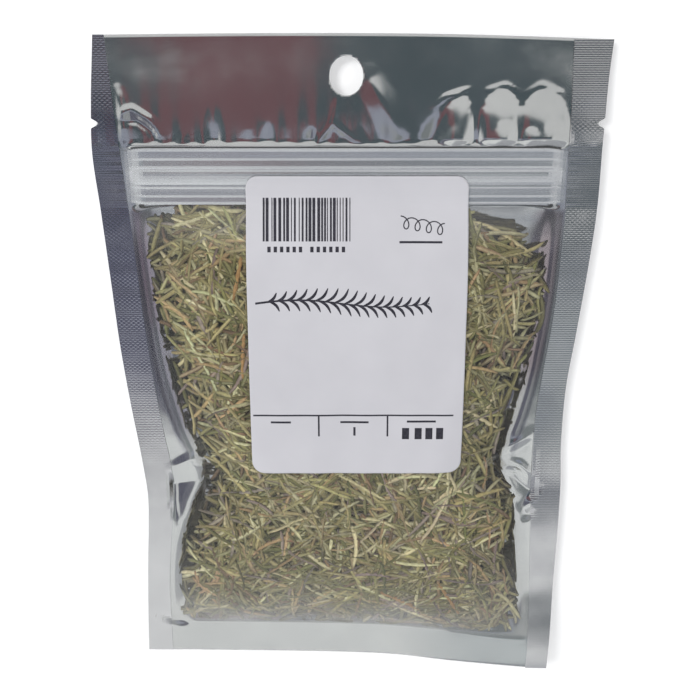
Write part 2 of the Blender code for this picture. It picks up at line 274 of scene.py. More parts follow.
DROPS = [
    # tents and dents that start at the zip strip: centre x, half width, reach up, rise, lean
    (-34.6, 2.3, 12.0, -0.55, 0.02),
    (-36.6, 2.0, 5.0, 0.30, -0.05),
    (-20.6, 1.7, 8.0, -0.42, 0.03),
    (-25.6, 1.6, 5.0, -0.26, 0.05),
    (-10.2, 1.8, 5.4, -0.40, 0.10),
    (3.4, 1.7, 5.2, 0.34, -0.25),
    (-1.2, 1.2, 3.0, 0.25, 0.0),
    (-43.0, 2.2, 4.4, 0.28, 0.3),
    (19.4, 2.6, 9.6, -0.62, 0.30),
    (24.6, 2.4, 6.0, 0.40, 0.25),
    (31.9, 1.6, 8.4, -0.62, 0.05),
]
BLISTERS = [
    # centre x, half width, reach up, rise
    (27.2, 5.0, 13.4, 1.25),
    (37.6, 6.6, 14.4, 1.50),
    (48.6, 7.4, 14.2, 1.50),
]
SMALL_BLISTERS = [(39.0, 3.4, 6.6, 0.55), (45.4, 3.0, 5.2, 0.5), (51.4, 3.4, 7.0, 0.55)]
ZIP_TOP = 53.3


def tent(x, y, cx, half, reach, rise, lean=0.0, power=1.0):
    dx = x - cx - lean * (y - ZIP_TOP)
    r = np.hypot(dx / half, (y - ZIP_TOP) / reach)
    return rise * np.clip(1 - r, 0, 1) ** power


def in_label(x, y, margin=0.0):
    """1 inside the label's outline, 0 outside, with a soft edge."""
    return (
        ease((x - LABEL_X[0] + margin) / 2)
        * ease((LABEL_X[1] + margin - x) / 2)
        * ease((y - LABEL_Y[0] + margin) / 2)
        * ease((LABEL_Y[1] + margin - y) / 2)
    )


def shared_shape(x, y):
    """Folds and waves that both films take together."""
    w = 0
    for points, height, width, power in SHARED_CREASES:
        w = w + crease(x, y, points, height, width, power)
    for a, b, depth, above, below in VALLEYS:
        w = w + valley(x, y, a, b, depth, above, below) * ease((x + 52.6) / 1.6)
    header = ease((y - 53.4) / 2.0)
    for points, height, width, power in HEADER_CREASES:
        w = w + crease(x, y, points, height, width, power) * header
    drops = 0
    for cx, half, reach, rise, lean in DROPS:
        drops = drops + tent(x, y, cx, half, reach, rise, lean, 1.15)
    big = np.max([tent(x, y, cx, half, reach, rise, 0.0, 0.8) for cx, half, reach, rise in BLISTERS], axis=0)
    small = np.max([tent(x, y, cx, half, reach, rise, 0.0, 0.8) for cx, half, reach, rise in SMALL_BLISTERS], axis=0)
    w = w + header * (drops + big + small * 0.8)
    fade = header * np.exp(-np.clip(y - 53.5, 0, None) / 5.0)
    w = w + fade * 0.10 * np.sin(2 * np.pi * x / 5.3 + 1.6 * np.sin(x / 9.0))
    w = w + header * (0.045 * ripple(x, y, 34, 3) + 0.006 * ripple(x, y, 12, 4))
    rim = 1 - ease((x - part_left(y)) / 6) * ease((part_right(y) - x) / 6)
    body = ease((38 - y) / 6)
    w = w + rim * body * (0.10 * ripple(x, y, 26, 5) + 0.012 * ripple(x, y, 9, 6))
    return w


ZIP_PROFILE = [  # (distance below the strip's top edge in y, rise) of the front film over the strip
    (-1.8, 0.0), (-1.0, 0.10), (-0.4, 0.38), (0.0, 0.74), (0.4, 0.84), (0.8, 0.76), (1.6, 0.80), (2.9, 0.78), (4.2, 0.86), (4.7, 1.02),
    (5.0, 1.16), (5.3, 1.06), (5.7, 1.30), (6.2, 1.55), (6.9, 1.44), (7.8, 1.24), (8.7, 1.02), (9.2, 0.88), (9.55, 0.90),
    (9.9, 1.12), (10.2, 1.08), (10.5, 0.84), (11.3, 0.80), (12.4, 0.86), (13.1, 0.90), (13.5, 1.08), (13.9, 1.12),
    (14.25, 0.66), (15.2, 0.35), (17.5, 0.0),
]


def zip_front(x, y):
    d = (ZIP_Y + ZIP_HALF) - y
    ps = np.array([p[0] for p in ZIP_PROFILE])
    vs = np.array([p[1] for p in ZIP_PROFILE])
    core = np.interp(d, ps, vs)
    along = ease((x - ZIP_LEFT + 3.6) / 3.4) * ease((ZIP_RIGHT + 3.6 - x) / 3.4)
    # The crushed ends carry fine ridges instead of the strip's own section.
    ends = ease((x + 58.4) / 2.0) * ease((56.2 - x) / 2.0) * (1 - along) * ease((d + 0.3) / 0.6) * ease((14.6 - d) / 0.8)
    fine = 0.16 * np.abs(np.sin(np.pi * d / 1.15)) + 0.12
    pucker = 0.025 * ripple(x, y * 0.3, 6, 15) * ease((d + 2) / 3) * ease((17 - d) / 3)
    # Fine lines drawn along the strip, plainer towards its right.
    lines = 0.030 * np.sin(2 * np.pi * d / 1.13 + 0.4) + 0.020 * np.sin(2 * np.pi * d / 0.71)
    pucker = pucker + lines * (0.25 + 0.75 * ease((x - 15) / 25)) * ease((d - 0.6) / 0.5) * ease((13.6 - d) / 0.5)
    return np.maximum(core * along, ends * fine) + pucker * along


def hugging(x, y):
    """How the front film takes up the lumps of the leaves under it."""
    inside = ease((x - fill_left(y) + 1) / 5) * ease((fill_right(y) + 1 - x) / 5)
    inside = inside * ease((y - floor_line(x) - 1) / 5) * ease((37 - y) / 5)
    free = 1 - in_label(x, y, 1.0)
    calm = 0.45 + 0.55 * ease((y + 74) / 16)
    return inside * calm * (
        0.16 * ripple(x, y, 13, 21) + free * (0.05 * ripple(x, y, 6.0, 22) + 0.016 * ripple(x, y, 3.2, 23))
    )


def front_low(x, y):
    """The visible front film's under side."""
    full = rise_of(y) * pocket(x, y, 26, 26)
    base = np.maximum(full, zip_front(x, y))
    return seal_plane(x, y) + SEAL_GAP / 2 + base + shared_shape(x, y) * (1 - in_label(x, y, 3)) + hugging(x, y)


def back_high(x, y):
    """The visible back film's upper side."""
    full = BACK_DEPTH * pocket(x, y, 13, 15)
    d = (ZIP_Y + ZIP_HALF) - y
    along = ease((x - ZIP_LEFT + 3.6) / 3.4) * ease((ZIP_RIGHT + 3.6 - x) / 3.4)
    hump = along * ease((d + 0.35) / 0.35) * ease((16.0 - d) / 2.0)
    full = full * ease((x - part_left(y) - 0.5) / 5) * ease((part_right(y) - 0.5 - x) / 5)
    low = seal_plane(x, y) - SEAL_GAP / 2 - np.maximum(full, 1.25 * hump)
    # Above the strip the two films lie together and climb onto it as one.
    low = low + zip_front(x, y) * (1 - ease((d + 0.45) / 0.3)) * 0.95
    flat = pocket(x, y, 13, 15)
    w = shared_shape(x, y) * (1 - ease(flat * 1.6)) + 0.10 * ripple(x, y, 26, 31) * ease(flat * 3) * (1 - flat)
    return np.maximum(low + w, 0.14)


# ------------------------------------------------------------ mesh making
def add_mesh(name, verts, faces, smooth_faces=True):
    """verts (n, 3) in design millimetres; faces is a list of int arrays (m, k)."""
    mesh = bpy.data.meshes.new(name)
    v = metres(verts).astype(np.float32)
    mesh.vertices.add(len(v))
    mesh.vertices.foreach_set("co", v.ravel())
    loops = np.concatenate([f.ravel() for f in faces]).astype(np.int32)
    sizes = np.concatenate([np.full(len(f), f.shape[1], np.int32) for f in faces])
    starts = np.concatenate([[0], np.cumsum(sizes)[:-1]]).astype(np.int32)
    mesh.loops.add(len(loops))
    mesh.loops.foreach_set("vertex_index", loops)
    mesh.polygons.add(len(sizes))
    mesh.polygons.foreach_set("loop_start", starts)
    flags = np.full(len(sizes), bool(smooth_faces))
    mesh.polygons.foreach_set("use_smooth", flags)
    mesh.update(calc_edges=True)
    mesh.validate()
    obj = bpy.data.objects.new(name, mesh)
    bpy.context.scene.collection.objects.link(obj)
    return obj


def float_attribute(obj, name, values):
    a = obj.data.attributes.new(name, "FLOAT", "POINT")
    a.data.foreach_set("value", np.asarray(values, np.float32).ravel())


def colour_attribute(obj, name, rgb):
    a = obj.data.attributes.new(name, "FLOAT_COLOR", "POINT")
    rgba = np.ones((len(rgb), 4), np.float32)
    rgba[:, :3] = rgb
    a.data.foreach_set("color", rgba.ravel())


def closed_sheet(name, px, py, low, high, keep=None, smooth_faces=True):
    """A closed thin solid over a grid, leaving out the quads that keep says."""
    rows, cols = px.shape
    n = rows * cols
    index = np.arange(n).reshape(rows, cols)
    a, b = index[:-1, :-1], index[:-1, 1:]
    c, d = index[1:, 1:], index[1:, :-1]
    quads = np.stack([a, b, c, d], axis=-1).reshape(-1, 4)
    # Rows may run down or up the pouch: turn the quads so that they face +Z.
    q = quads[0]
    fx, fy = px.ravel(), py.ravel()
    area = (fx[q[1]] - fx[q[0]]) * (fy[q[2]] - fy[q[0]]) - (fy[q[1]] - fy[q[0]]) * (fx[q[2]] - fx[q[0]])
    if area < 0:
        quads = quads[:, ::-1]
    if keep is not None:
        quads = quads[keep.reshape(-1)]
    e = np.concatenate([quads[:, [i, (i + 1) % 4]] for i in range(4)])
    code = e[:, 0].astype(np.int64) * n + e[:, 1]
    back = e[:, 1].astype(np.int64) * n + e[:, 0]
    rim = e[~np.isin(code, back)]
    walls = np.stack([rim[:, 0], rim[:, 1], rim[:, 1] + n, rim[:, 0] + n], axis=-1)[:, ::-1]
    # top layer is 0..n-1, bottom layer n..2n-1
    top = np.stack([px.ravel(), py.ravel(), high.ravel()], axis=-1)
    bottom = np.stack([px.ravel(), py.ravel(), low.ravel()], axis=-1)
    used = np.zeros(2 * n, bool)
    faces = [quads, quads[:, ::-1] + n, walls]
    for f in faces:
        used[f.ravel()] = True
    renumber = np.cumsum(used) - 1
    verts = np.concatenate([top, bottom])[used]
    obj = add_mesh(name, verts, [renumber[f] for f in faces], smooth_faces)
    return obj, used


def snap_hole(px, py, hx, hy, rx, ry):
    """Moves grid points just inside an ellipse's rim onto it; returns which quads stay."""
    r = np.hypot((px - hx) / rx, (py - hy) / ry)
    inside = r < 1
    quad_in = inside[:-1, :-1] & inside[:-1, 1:] & inside[1:, 1:] & inside[1:, :-1]
    keep = ~quad_in
    touched = np.zeros(px.shape, bool)
    for dr in (0, 1):
        for dc in (0, 1):
            touched[dr : px.shape[0] - 1 + dr, dc : px.shape[1] - 1 + dc] |= keep
    move = inside & touched
    s = np.where(move, 1 / np.maximum(r, 1e-6), 1.0)
    qx = np.where(move, hx + (px - hx) * s, px)
    qy = np.where(move, hy + (py - hy) * s, py)
    # points just outside the rim relax outwards a little so that quads stay even
    near = (~inside) & (r < 1.12)
    s2 = np.where(near, (1.02 + (r - 1) * 0.85) / np.maximum(r, 1e-6), 1.0)
    qx = np.where(near, hx + (px - hx) * s2, qx)
    qy = np.where(near, hy + (py - hy) * s2, qy)
    return qx, qy, keep


def film_rows(count_scale=1.0):
    """Shares up the pouch, close together over the zip strip."""
    spans = [(-98, -84, 0.66), (-84, -52, 0.85), (-52, -24, 0.60), (-24, 34, 1.15), (34, 38, 0.6), (38, 55.0, 0.28), (55.0, 69.5, 0.46), (69.5, 80.6, 0.7)]
    ys = []
    for a, b, step in spans:
        n = max(2, int(round((b - a) / (step / count_scale))))
        ys.extend(np.linspace(a, b, n, endpoint=False))
    ys.append(80.6)
    ys = np.array(ys)
    return (ys - ys[0]) / (ys[-1] - ys[0])


def film_grid(cols, count_scale, inset):
    v = film_rows(count_scale)
    u = np.linspace(0, 1, cols)
    # more columns near the waists and seals
    u = u - 0.028 * np.sin(4 * math.pi * u)
    gu, gv = np.meshgrid(u, v)
    y = (1 - gv) * bottom_edge(gu) + gv * top_edge(gu)
    yl = (1 - gv) * bottom_edge(0) + gv * top_edge(0)
    yr = (1 - gv) * bottom_edge(1) + gv * top_edge(1)
    x = (1 - gu) * (left_edge(yl) + inset) + gu * (right_edge(yr) - inset)
    return x, y


def band(v, centre, half):
    return np.clip(1 - np.abs(v - centre) / half, 0, 1)


def film_painted_shade(x, y):
    """Painted shade and painted reflections on the silver film, as a colour to multiply by."""
    tone = np.ones((*np.shape(x), 3))

    def shade(amount, colour):
        nonlocal tone
        tone = tone * (1 - amount[..., None] * (1 - np.array(colour)))

    inside = ease((38.6 - y) / 2.0)
    left_in, right_in = x - part_left(y), part_right(y) - x
    # The sharp edge of the pocket's window, along both its sides.
    # Painted shade: a dark line along the window's edge stands in for the shade of the crease there.
    line = np.maximum(band(left_in, 0.3, 1.1), band(right_in, 0.3, 1.1)) * inside * ease((y + 34) / 10)
    shade(line, (0.42, 0.42, 0.50))
    # Painted reflections: slate and maroon tints in the margins beside the fill, a maroon band along the left one, a
    # dulled lower right corner and a slate band across the top of the fill stand in for the dim overhead shape that the
    # film reflects.
    margin_l = ease((left_in + 0.2) / 0.8) * ease((9 - left_in) / 5) * inside * ease((y + 30) / 10)
    margin_r = ease((right_in + 0.2) / 0.8) * ease((9 - right_in) / 5) * inside * ease((y + 16) / 14)
    shade(margin_l, (0.50, 0.48, 0.58))
    shade(margin_r, (0.56, 0.47, 0.52))
    shade(band(left_in, 1.6, 2.4) * inside * ease((y - 2) / 10), (0.86, 0.66, 0.74))
    shade(ease((x - 12) / 30) * ease((-80 - y) / 5), (0.74, 0.78, 0.80))
    right_top = ease((x - 26) / 6)
    top = band(y, 37.2 - 2.0 * right_top, 2.6 + 2.4 * right_top) ** 0.6 * ease(left_in / 2) * ease(right_in / 2)
    shade(top, (0.50, 0.52, 0.58))
    return tone


def make_films():
    x, y = film_grid(172, 1.0, 1.4)
    x, y, keep = snap_hole(x, y, HOLE_X, HOLE_Y, HOLE_W / 2, HOLE_H / 2)
    low = front_low(x, y)
    front, used = closed_sheet("clear_front_film", x, y, low, low + 0.10, keep)
    # Painted sheen: a whitish diffuse veil stands in for the film's reflection where it stands off the leaves, most
    # towards the bottom and the bottom seal.
    low_down = ease((-54 - y) / 34)
    near_floor = ease((floor_line(x) + 15 - y) / 15)
    patchy = np.clip(0.85 + 0.40 * ripple(x, y, 24, 41) + 0.12 * ripple(x, y, 7, 42), 0.3, 1.5)
    painted_sheen = 0.010 + (0.08 * low_down + 0.10 * near_floor + 0.04 * ease((y - 24) / 12)) * patchy
    painted_sheen = np.where(y < floor_line(x) - 0.2, 0.05, np.where(y > 38.5, 0.03, painted_sheen))
    painted_sheen = np.where(y > 53.5, 0.012, painted_sheen)
    painted_sheen = np.concatenate([painted_sheen.ravel(), painted_sheen.ravel()])[used]
    float_attribute(front, "painted_sheen", np.clip(painted_sheen, 0, 1))

    x, y = film_grid(172, 1.0, 1.4)
    x, y, keep = snap_hole(x, y, HOLE_X, HOLE_Y, HOLE_W / 2, HOLE_H / 2)
    high = np.minimum(back_high(x, y), front_low(x, y) - 0.06)
    high = np.maximum(high, 0.14)
    back, used = closed_sheet("metallised_back_film", x, y, high - 0.12, high, keep)
    # Painted shade and painted reflections for the silver film.
    tone = film_painted_shade(x, y)
    tone = np.concatenate([tone.reshape(-1, 3), tone.reshape(-1, 3)])[used]
    colour_attribute(back, "tone", tone)
    return front, back


def make_side_seals():
    made = []
    for side, edge, inner in (("left", left_edge, seal_left), ("right", right_edge, seal_right)):
        out = -1 if side == "left" else 1
        y0 = float(bottom_edge(0 if out < 0 else 1))
        y1 = float(top_edge(0 if out < 0 else 1))
        pitch = 0.26
        rows = int((y1 - y0) / pitch)
        yy = np.linspace(y0, y1, rows)
        share = np.array([0, 0.02, 0.10, 0.24, 0.40, 0.56, 0.72, 0.86, 0.97, 1.0])
        gs, gy = np.meshgrid(share, yy)
        notch = NOTCH_DEPTH * np.clip(1 - np.abs(gy - NOTCH_Y) / (NOTCH_HALF + 0.25), 0, 1) ** 0.8
        ex = edge(gy) - out * notch
        x = ex * (1 - gs) + inner(gy) * gs
        # The two long edges of the pouch are cut along the top and bottom lines.
        zip_press = ease((gy - ZIP_Y + 8.5) / 1.0) * ease((ZIP_Y + 8.5 - gy) / 1.0)
        rib = np.where((np.arange(rows) % 2)[:, None] == 0, 0.5, -0.5) * 0.020
        rib = rib * (1 - 0.85 * ease((gs - 0.97) / 0.03)) * np.where(gs < 0.02, 0.3, 1.0)
        strength = 0.75 + 0.35 * ripple(x, gy, 30, 51 if out < 0 else 52)
        # Ribs are pressed out where the zip's ends were crushed into the seal.
        strength = np.clip(strength, 0.25, 1.1) * (1 - 0.45 * zip_press) * (0.06 + 0.94 * ease((gy + (36 if out < 0 else 62)) / 16)) * (1.0 if out < 0 else 1.7)
        mid = seal_plane(x, gy) + shared_shape(x, gy)
        mid = mid + zip_press * 0.022 * np.sin(2 * np.pi * gy / 2.3) * gs
        ridge = rib * strength
        plain = ease((gy + 84) / 6)
        high = mid + 0.155 + ridge + 0.015 * plain
        low = np.maximum(mid - 0.17 + ridge, 0.02)
        obj, used = closed_sheet(f"{side}_side_seal", x, gy, low, high, None, False)
        # Painted shade and painted reflections on the seals: darker up the left seal, a darker band and a darker fold
        # at the waist on the right one, made fainter across the zip's crushed ends, and darker again across the header.
        tone = np.ones((*x.shape, 3))
        if out < 0:
            dark = ease((gy + 24) / 26)
            tone = tone * (1 - dark[..., None] * (1 - np.array((0.60, 0.61, 0.70))))
        else:
            dark = ease((gy + 40) / 20) * ease((34 - gy) / 30)
            tone = tone * (1 - dark[..., None] * (1 - np.array((0.80, 0.83, 0.83))))
            fold = band(gy, -42.5, 6.0)
            tone = tone * (1 - fold[..., None] * (1 - np.array((0.62, 0.63, 0.66))))
        press = band(gy, ZIP_Y, 8.2) ** 0.3 * 0.5
        tone = tone + press[..., None] * (1 - tone)
        tone = tone * (1 - 0.22 * ease((gy - 56) / 3))[..., None]
        colour_attribute(obj, "tone", np.concatenate([tone.reshape(-1, 3), tone.reshape(-1, 3)])[used])
        woven = ease((gy + (34 if out < 0 else 52)) / 16) * (1 - 0.8 * zip_press)
        woven = woven * (1.0 if out < 0 else 0.55 + 0.45 * ease((gy - 54) / 4)) + 0.0 * gs
        float_attribute(obj, "woven", np.concatenate([woven.ravel(), woven.ravel()])[used])
        made.append(obj)
    return made


# ------------------------------------------------------------ leaves
SECTION = np.array([(-0.50, 0.0), (-0.34, 0.34), (0.0, 0.44), (0.34, 0.34), (0.50, 0.0), (0.32, -0.36), (0.0, -0.22), (-0.32, -0.36)])
UNDERNESS = np.array([0.1, 0.0, 0.0, 0.0, 0.1, 0.5, 1.0, 0.5])
# Painted highlight on each leaf's crest and on the midrib beneath it, painted shade on its sides.
CREST_PAINTED_LIGHT = np.array([0.62, 0.96, 1.30, 0.96, 0.62, 0.80, 1.15, 0.80])


def srgb(r, g, b):
    c = np.array([r, g, b], float) / 255
    return np.where(c <= 0.04045, c / 12.92, ((c + 0.055) / 1.055) ** 2.4)


PALETTE = [
    (srgb(160, 149, 106), 0.27), (srgb(130, 123, 82), 0.26), (srgb(196, 187, 150), 0.15), (srgb(106, 104, 66), 0.10),
    (srgb(170, 144, 108), 0.09), (srgb(126, 102, 80), 0.05), (srgb(138, 124, 116), 0.08),
]


def sweep(name, centre, width, thick, roll, top_rgb, under_rgb, section=SECTION, underness=UNDERNESS, crest_painted_light=CREST_PAINTED_LIGHT):
    """Closed needles: centre (n, r, 3), width and thick (n, r), roll (n,), colours (n, 3)."""
    n, r, _ = centre.shape
    s = len(section)
    along = np.gradient(centre, axis=1)
    along /= np.linalg.norm(along, axis=2, keepdims=True)
    side = np.cross(np.array([0, 0, 1.0]), along)
    side /= np.maximum(np.linalg.norm(side, axis=2, keepdims=True), 1e-9)
    up = np.cross(along, side)
    if roll.ndim == 1:
        roll = np.repeat(roll[:, None], r, axis=1)
    cr, sr = np.cos(roll)[..., None], np.sin(roll)[..., None]
    side2 = side * cr + up * sr
    up2 = -side * sr + up * cr
    pts = (
        centre[:, :, None, :]
        + section[None, None, :, 0, None] * width[:, :, None, None] * side2[:, :, None, :]
        + section[None, None, :, 1, None] * thick[:, :, None, None] * up2[:, :, None, :]
    )
    verts = pts.reshape(-1, 3)
    base = (np.arange(n) * r * s)[:, None, None]
    i = np.arange(r - 1)[None, :, None]
    k = np.arange(s)[None, None, :]
    k1 = (k + 1) % s
    a, b = base + i * s + k, base + i * s + k1
    c2, d = base + (i + 1) * s + k1, base + (i + 1) * s + k
    quads = np.stack(np.broadcast_arrays(a, d, c2, b), axis=-1).reshape(-1, 4)
    first = (np.arange(n) * r * s)[:, None] + np.arange(s)[None, :]
    last = first + (r - 1) * s
    obj = add_mesh(name, verts, [quads[:, ::-1], first[:, ::-1], last])
    shade = underness[None, None, :, None]
    rgb = top_rgb[:, None, None, :] * (1 - shade) + under_rgb[:, None, None, :] * shade
    t = np.linspace(0, 1, r)[None, :, None, None]
    ends = 1 - 0.28 * np.exp(-t / 0.06) - 0.28 * np.exp(-(1 - t) / 0.05)
    rgb = np.broadcast_to(rgb * ends * crest_painted_light[None, None, :, None], (n, r, s, 3))
    colour_attribute(obj, "tint", rgb.reshape(-1, 3))
    return obj


def fix_normals(obj):
    """Turns a mesh that came out inside out."""
    import bmesh

    bm = bmesh.new()
    bm.from_mesh(obj.data)
    if bm.calc_volume(signed=True) < 0:
        bmesh.ops.reverse_faces(bm, faces=bm.faces)
        bm.to_mesh(obj.data)
    bm.free()


def leaf_taper(r):
    """Broken off blunt at one end, drawn in at the other."""
    t = np.linspace(0, 1, r)
    return (0.66 + 0.34 * ease(t / 0.12)) * (0.46 + 0.54 * ease((1 - t) / 0.18))


def lay_leaves(rng, count, rings, depth_scale, zone=None, lengths=(6, 19), widths=(0.95, 1.40)):
    """Centre lines of leaves scattered through the fill, as arrays."""
    clusters = np.column_stack([rng.uniform(-55, 55, 260), rng.uniform(-92, 40, 260)])
    cluster_yaw = rng.normal(0, 0.85, 260)
    found = []
    t = np.linspace(-0.5, 0.5, rings)[None, :]
    have = 0
    while have < count:
        m = count * 2
        x0, y0 = rng.uniform(-53, 53, m), rng.uniform(-91, 39, m)
        near = np.argmin((x0[:, None] - clusters[None, :, 0]) ** 2 + (y0[:, None] - clusters[None, :, 1]) ** 2, axis=1)
        yaw = cluster_yaw[near] + rng.normal(0, 0.40, m)
        wild = rng.uniform(0, 1, m) < 0.22
        yaw = np.where(wild, rng.uniform(0, math.pi, m), yaw)
        length = np.clip(rng.gamma(9.0, 1.35, m), *lengths)
        short = rng.uniform(0, 1, m) < 0.10
        length = np.where(short, rng.uniform(3.5, 6.0, m), length)
        bend = rng.normal(0, 0.05, m)[:, None]
        hook = rng.normal(0, 0.015, m)[:, None]
        sway = bend * (1 - 4 * t * t) + hook * np.sin(2 * np.pi * t)
        c, s = np.cos(yaw)[:, None], np.sin(yaw)[:, None]
        L = length[:, None]
        px = x0[:, None] + L * (t * c - sway * s)
        py = y0[:, None] + L * (t * s + sway * c)
        edge = rng.uniform(-0.6, 1.6, m)[:, None]
        top_line = 39.6 - 5.6 * ease((px - 30) / 5) - 3.0 * ease((px - 44) / 5) - 2.6 * ease((-44 - px) / 6) + 0.8 * np.sin(px / 4.0)
        wide_l = 2.3 * ease((py - 2) / 14)
        wide_r = 1.8 * ease((py + 2) / 12) + 1.8 * ease((-62 - py) / 12)
        ok = (px > fill_left(py) + edge - wide_l).all(1) & (px < fill_right(py) - edge + wide_r).all(1)
        ok &= (py > floor_line(px) + 0.2 + 0.25 * np.abs(edge)).all(1) & (py < top_line).all(1)
        hidden = ((px > LABEL_X[0] + 7) & (px < LABEL_X[1] - 7) & (py > LABEL_Y[0] + 7)).all(1)
        ok &= ~hidden
        if zone is not None:
            ok &= zone(px, py)
        width = rng.uniform(*widths, m) * np.where(length < 8, 0.9, 1.0)
        depth = rng.exponential(depth_scale, m)
        depth = np.clip(depth, 0, 4.5)
        # The flanks of the fill show leaves all the way down.
        shore = np.minimum(x0 - fill_left(y0), fill_right(y0) - x0)
        shore = np.minimum(shore, y0 - floor_line(x0))
        flank = (shore < 6.5) & (rng.uniform(0, 1, m) < 0.6)
        depth = np.where(flank, rng.uniform(0, 6.0, m), depth)
        dim = np.where(flank, 0.16, 0.46)
        tilt = rng.normal(0, 0.035, m)
        sel = np.flatnonzero(ok)
        found.append(dict(px=px[sel], py=py[sel], length=length[sel], width=width[sel], depth=depth[sel], tilt=tilt[sel], dim=dim[sel]))
        have += len(sel)
    out = {k: np.concatenate([f[k] for f in found])[:count] for k in found[0]}
    return out


def needle_arrays(rng, laid, rings):
    n = len(laid["length"])
    t = np.linspace(-0.5, 0.5, rings)[None, :]
    taper = leaf_taper(rings)[None, :]
    width = laid["width"][:, None] * taper
    thick = width * rng.uniform(0.62, 0.90, n)[:, None]
    roll = rng.normal(0, 0.55, n)
    flip = rng.uniform(0, 1, n) < 0.30
    roll = np.where(flip, roll + math.pi, roll)
    half = 0.5 * np.sqrt((width * np.sin(roll)[:, None]) ** 2 + (thick * np.cos(roll)[:, None]) ** 2) + 0.04
    px, py = laid["px"], laid["py"]
    ceiling = front_low(px, py) - half - 0.17
    floor = back_high(px, py) + half + 0.1
    # A leaf is stiff: it takes a smooth line under the film, not every lump of it.
    z = ceiling - laid["depth"][:, None] + laid["tilt"][:, None] * laid["length"][:, None] * t
    line = np.stack([np.polyval(np.polyfit(t[0], row, 2), t[0]) for row in z])
    line = np.minimum(line, ceiling)
    line = np.maximum(line, np.minimum(floor, ceiling))
    centre = np.stack([px, py, line], axis=-1)
    weights = np.array([w for _, w in PALETTE])
    pick = rng.choice(len(PALETTE), n, p=weights / weights.sum())
    top = np.array([c for c, _ in PALETTE])[pick]
    top = 0.86 * top * rng.uniform(0.70, 1.32, n)[:, None] * (1 + rng.normal(0, 0.03, (n, 3)))
    # Less light reaches the leaves that lie deeper.
    top = top * np.clip(1.18 - laid["dim"] * laid["depth"], 0.26, 1.10)[:, None]
    under = top * 0.55 + srgb(178, 172, 140) * 0.45
    return centre, width, thick, roll, top, under


# ------------------------------------------------------------ materials
def material(name):
    m = bpy.data.materials.new(name)
    m.use_nodes = True
    nodes, links = m.node_tree.nodes, m.node_tree.links
    return m, nodes, links, nodes["Principled BSDF"]


def noise(nodes, links, scale, detail=4.0, rough=0.55, stretch=None, distortion=0.0):
    coords = nodes.new("ShaderNodeTexCoord")
    tex = nodes.new("ShaderNodeTexNoise")
    tex.inputs["Scale"].default_value = scale
    tex.inputs["Detail"].default_value = detail
    tex.inputs["Roughness"].default_value = rough
    tex.inputs["Distortion"].default_value = distortion
    if stretch:
        mapping = nodes.new("ShaderNodeMapping")
        mapping.inputs["Scale"].default_value = stretch
        links.new(coords.outputs["Object"], mapping.inputs["Vector"])
        links.new(mapping.outputs["Vector"], tex.inputs["Vector"])
    else:
        links.new(coords.outputs["Object"], tex.inputs["Vector"])
    return tex.outputs["Fac"]


def remap(nodes, links, value, low, high, from_low=0.3, from_high=0.7):
    m = nodes.new("ShaderNodeMapRange")
    m.inputs["From Min"].default_value = from_low
    m.inputs["From Max"].default_value = from_high
    m.inputs["To Min"].default_value = low
    m.inputs["To Max"].default_value = high
    links.new(value, m.inputs["Value"])
    return m.outputs["Result"]


def ramp(nodes, links, value, stops):
    r = nodes.new("ShaderNodeValToRGB")
    while len(r.color_ramp.elements) < len(stops):
        r.color_ramp.elements.new(0.5)
    for e, (p, c) in zip(r.color_ramp.elements, stops):
        e.position = p
        e.color = (*c, 1)
    links.new(value, r.inputs["Fac"])
    return r.outputs["Color"]


def bump(nodes, links, value, distance, strength=1.0, base=None):
    b = nodes.new("ShaderNodeBump")
    b.inputs["Distance"].default_value = distance
    b.inputs["Strength"].default_value = strength
    links.new(value, b.inputs["Height"])
    if base:
        links.new(base, b.inputs["Normal"])
    return b.outputs["Normal"]


def metal_film(name, tone=0.66, rough=(0.07, 0.125), fine=0.000002, hatch=0.0):
    m, nodes, links, p = material(name)
    p.inputs["Metallic"].default_value = 1.0
    n1 = noise(nodes, links, 45, 3)
    base = ramp(nodes, links, n1, [(0.3, (tone, tone * 1.005, tone * 1.02)), (0.7, (tone + 0.08, tone + 0.082, tone + 0.09))])
    # The tone attribute multiplies in painted shade and painted reflections.
    attr = nodes.new("ShaderNodeAttribute")
    attr.attribute_name = "tone"
    tint = nodes.new("ShaderNodeMix")
    tint.data_type = "RGBA"
    tint.blend_type = "MULTIPLY"
    tint.inputs[0].default_value = 1.0
    links.new(base, tint.inputs[6])
    links.new(attr.outputs["Color"], tint.inputs[7])
    links.new(tint.outputs[2], p.inputs["Base Color"])
    n2 = noise(nodes, links, 120, 4)
    links.new(remap(nodes, links, n2, *rough), p.inputs["Roughness"])
    n3 = noise(nodes, links, 420, 5)
    n4 = noise(nodes, links, 90, 2)
    first = bump(nodes, links, n4, 0.00006, 0.5)
    normal = bump(nodes, links, n3, fine, 0.8, first)
    if hatch:
        # The sealing bars' woven pattern.
        coords = nodes.new("ShaderNodeTexCoord")
        split = nodes.new("ShaderNodeSeparateXYZ")
        links.new(coords.outputs["Object"], split.inputs[0])
        waves = []
        for axis, period in (("X", 0.00130), ("Y", 0.00096)):
            m1 = nodes.new("ShaderNodeMath")
            m1.operation = "MULTIPLY"
            m1.inputs[1].default_value = 2 * math.pi / period
            links.new(split.outputs[axis], m1.inputs[0])
            m2 = nodes.new("ShaderNodeMath")
            m2.operation = "SINE"
            links.new(m1.outputs[0], m2.inputs[0])
            waves.append(m2.outputs[0])
        both = nodes.new("ShaderNodeMath")
        both.operation = "MULTIPLY"
        links.new(waves[0], both.inputs[0])
        links.new(waves[1], both.inputs[1])
        woven = nodes.new("ShaderNodeAttribute")
        woven.attribute_name = "woven"
        faded = nodes.new("ShaderNodeMath")
        faded.operation = "MULTIPLY"
        links.new(both.outputs[0], faded.inputs[0])
        links.new(woven.outputs["Fac"], faded.inputs[1])
        normal = bump(nodes, links, faded.outputs[0], hatch, 1.0, normal)
    links.new(normal, p.inputs["Normal"])
    return m


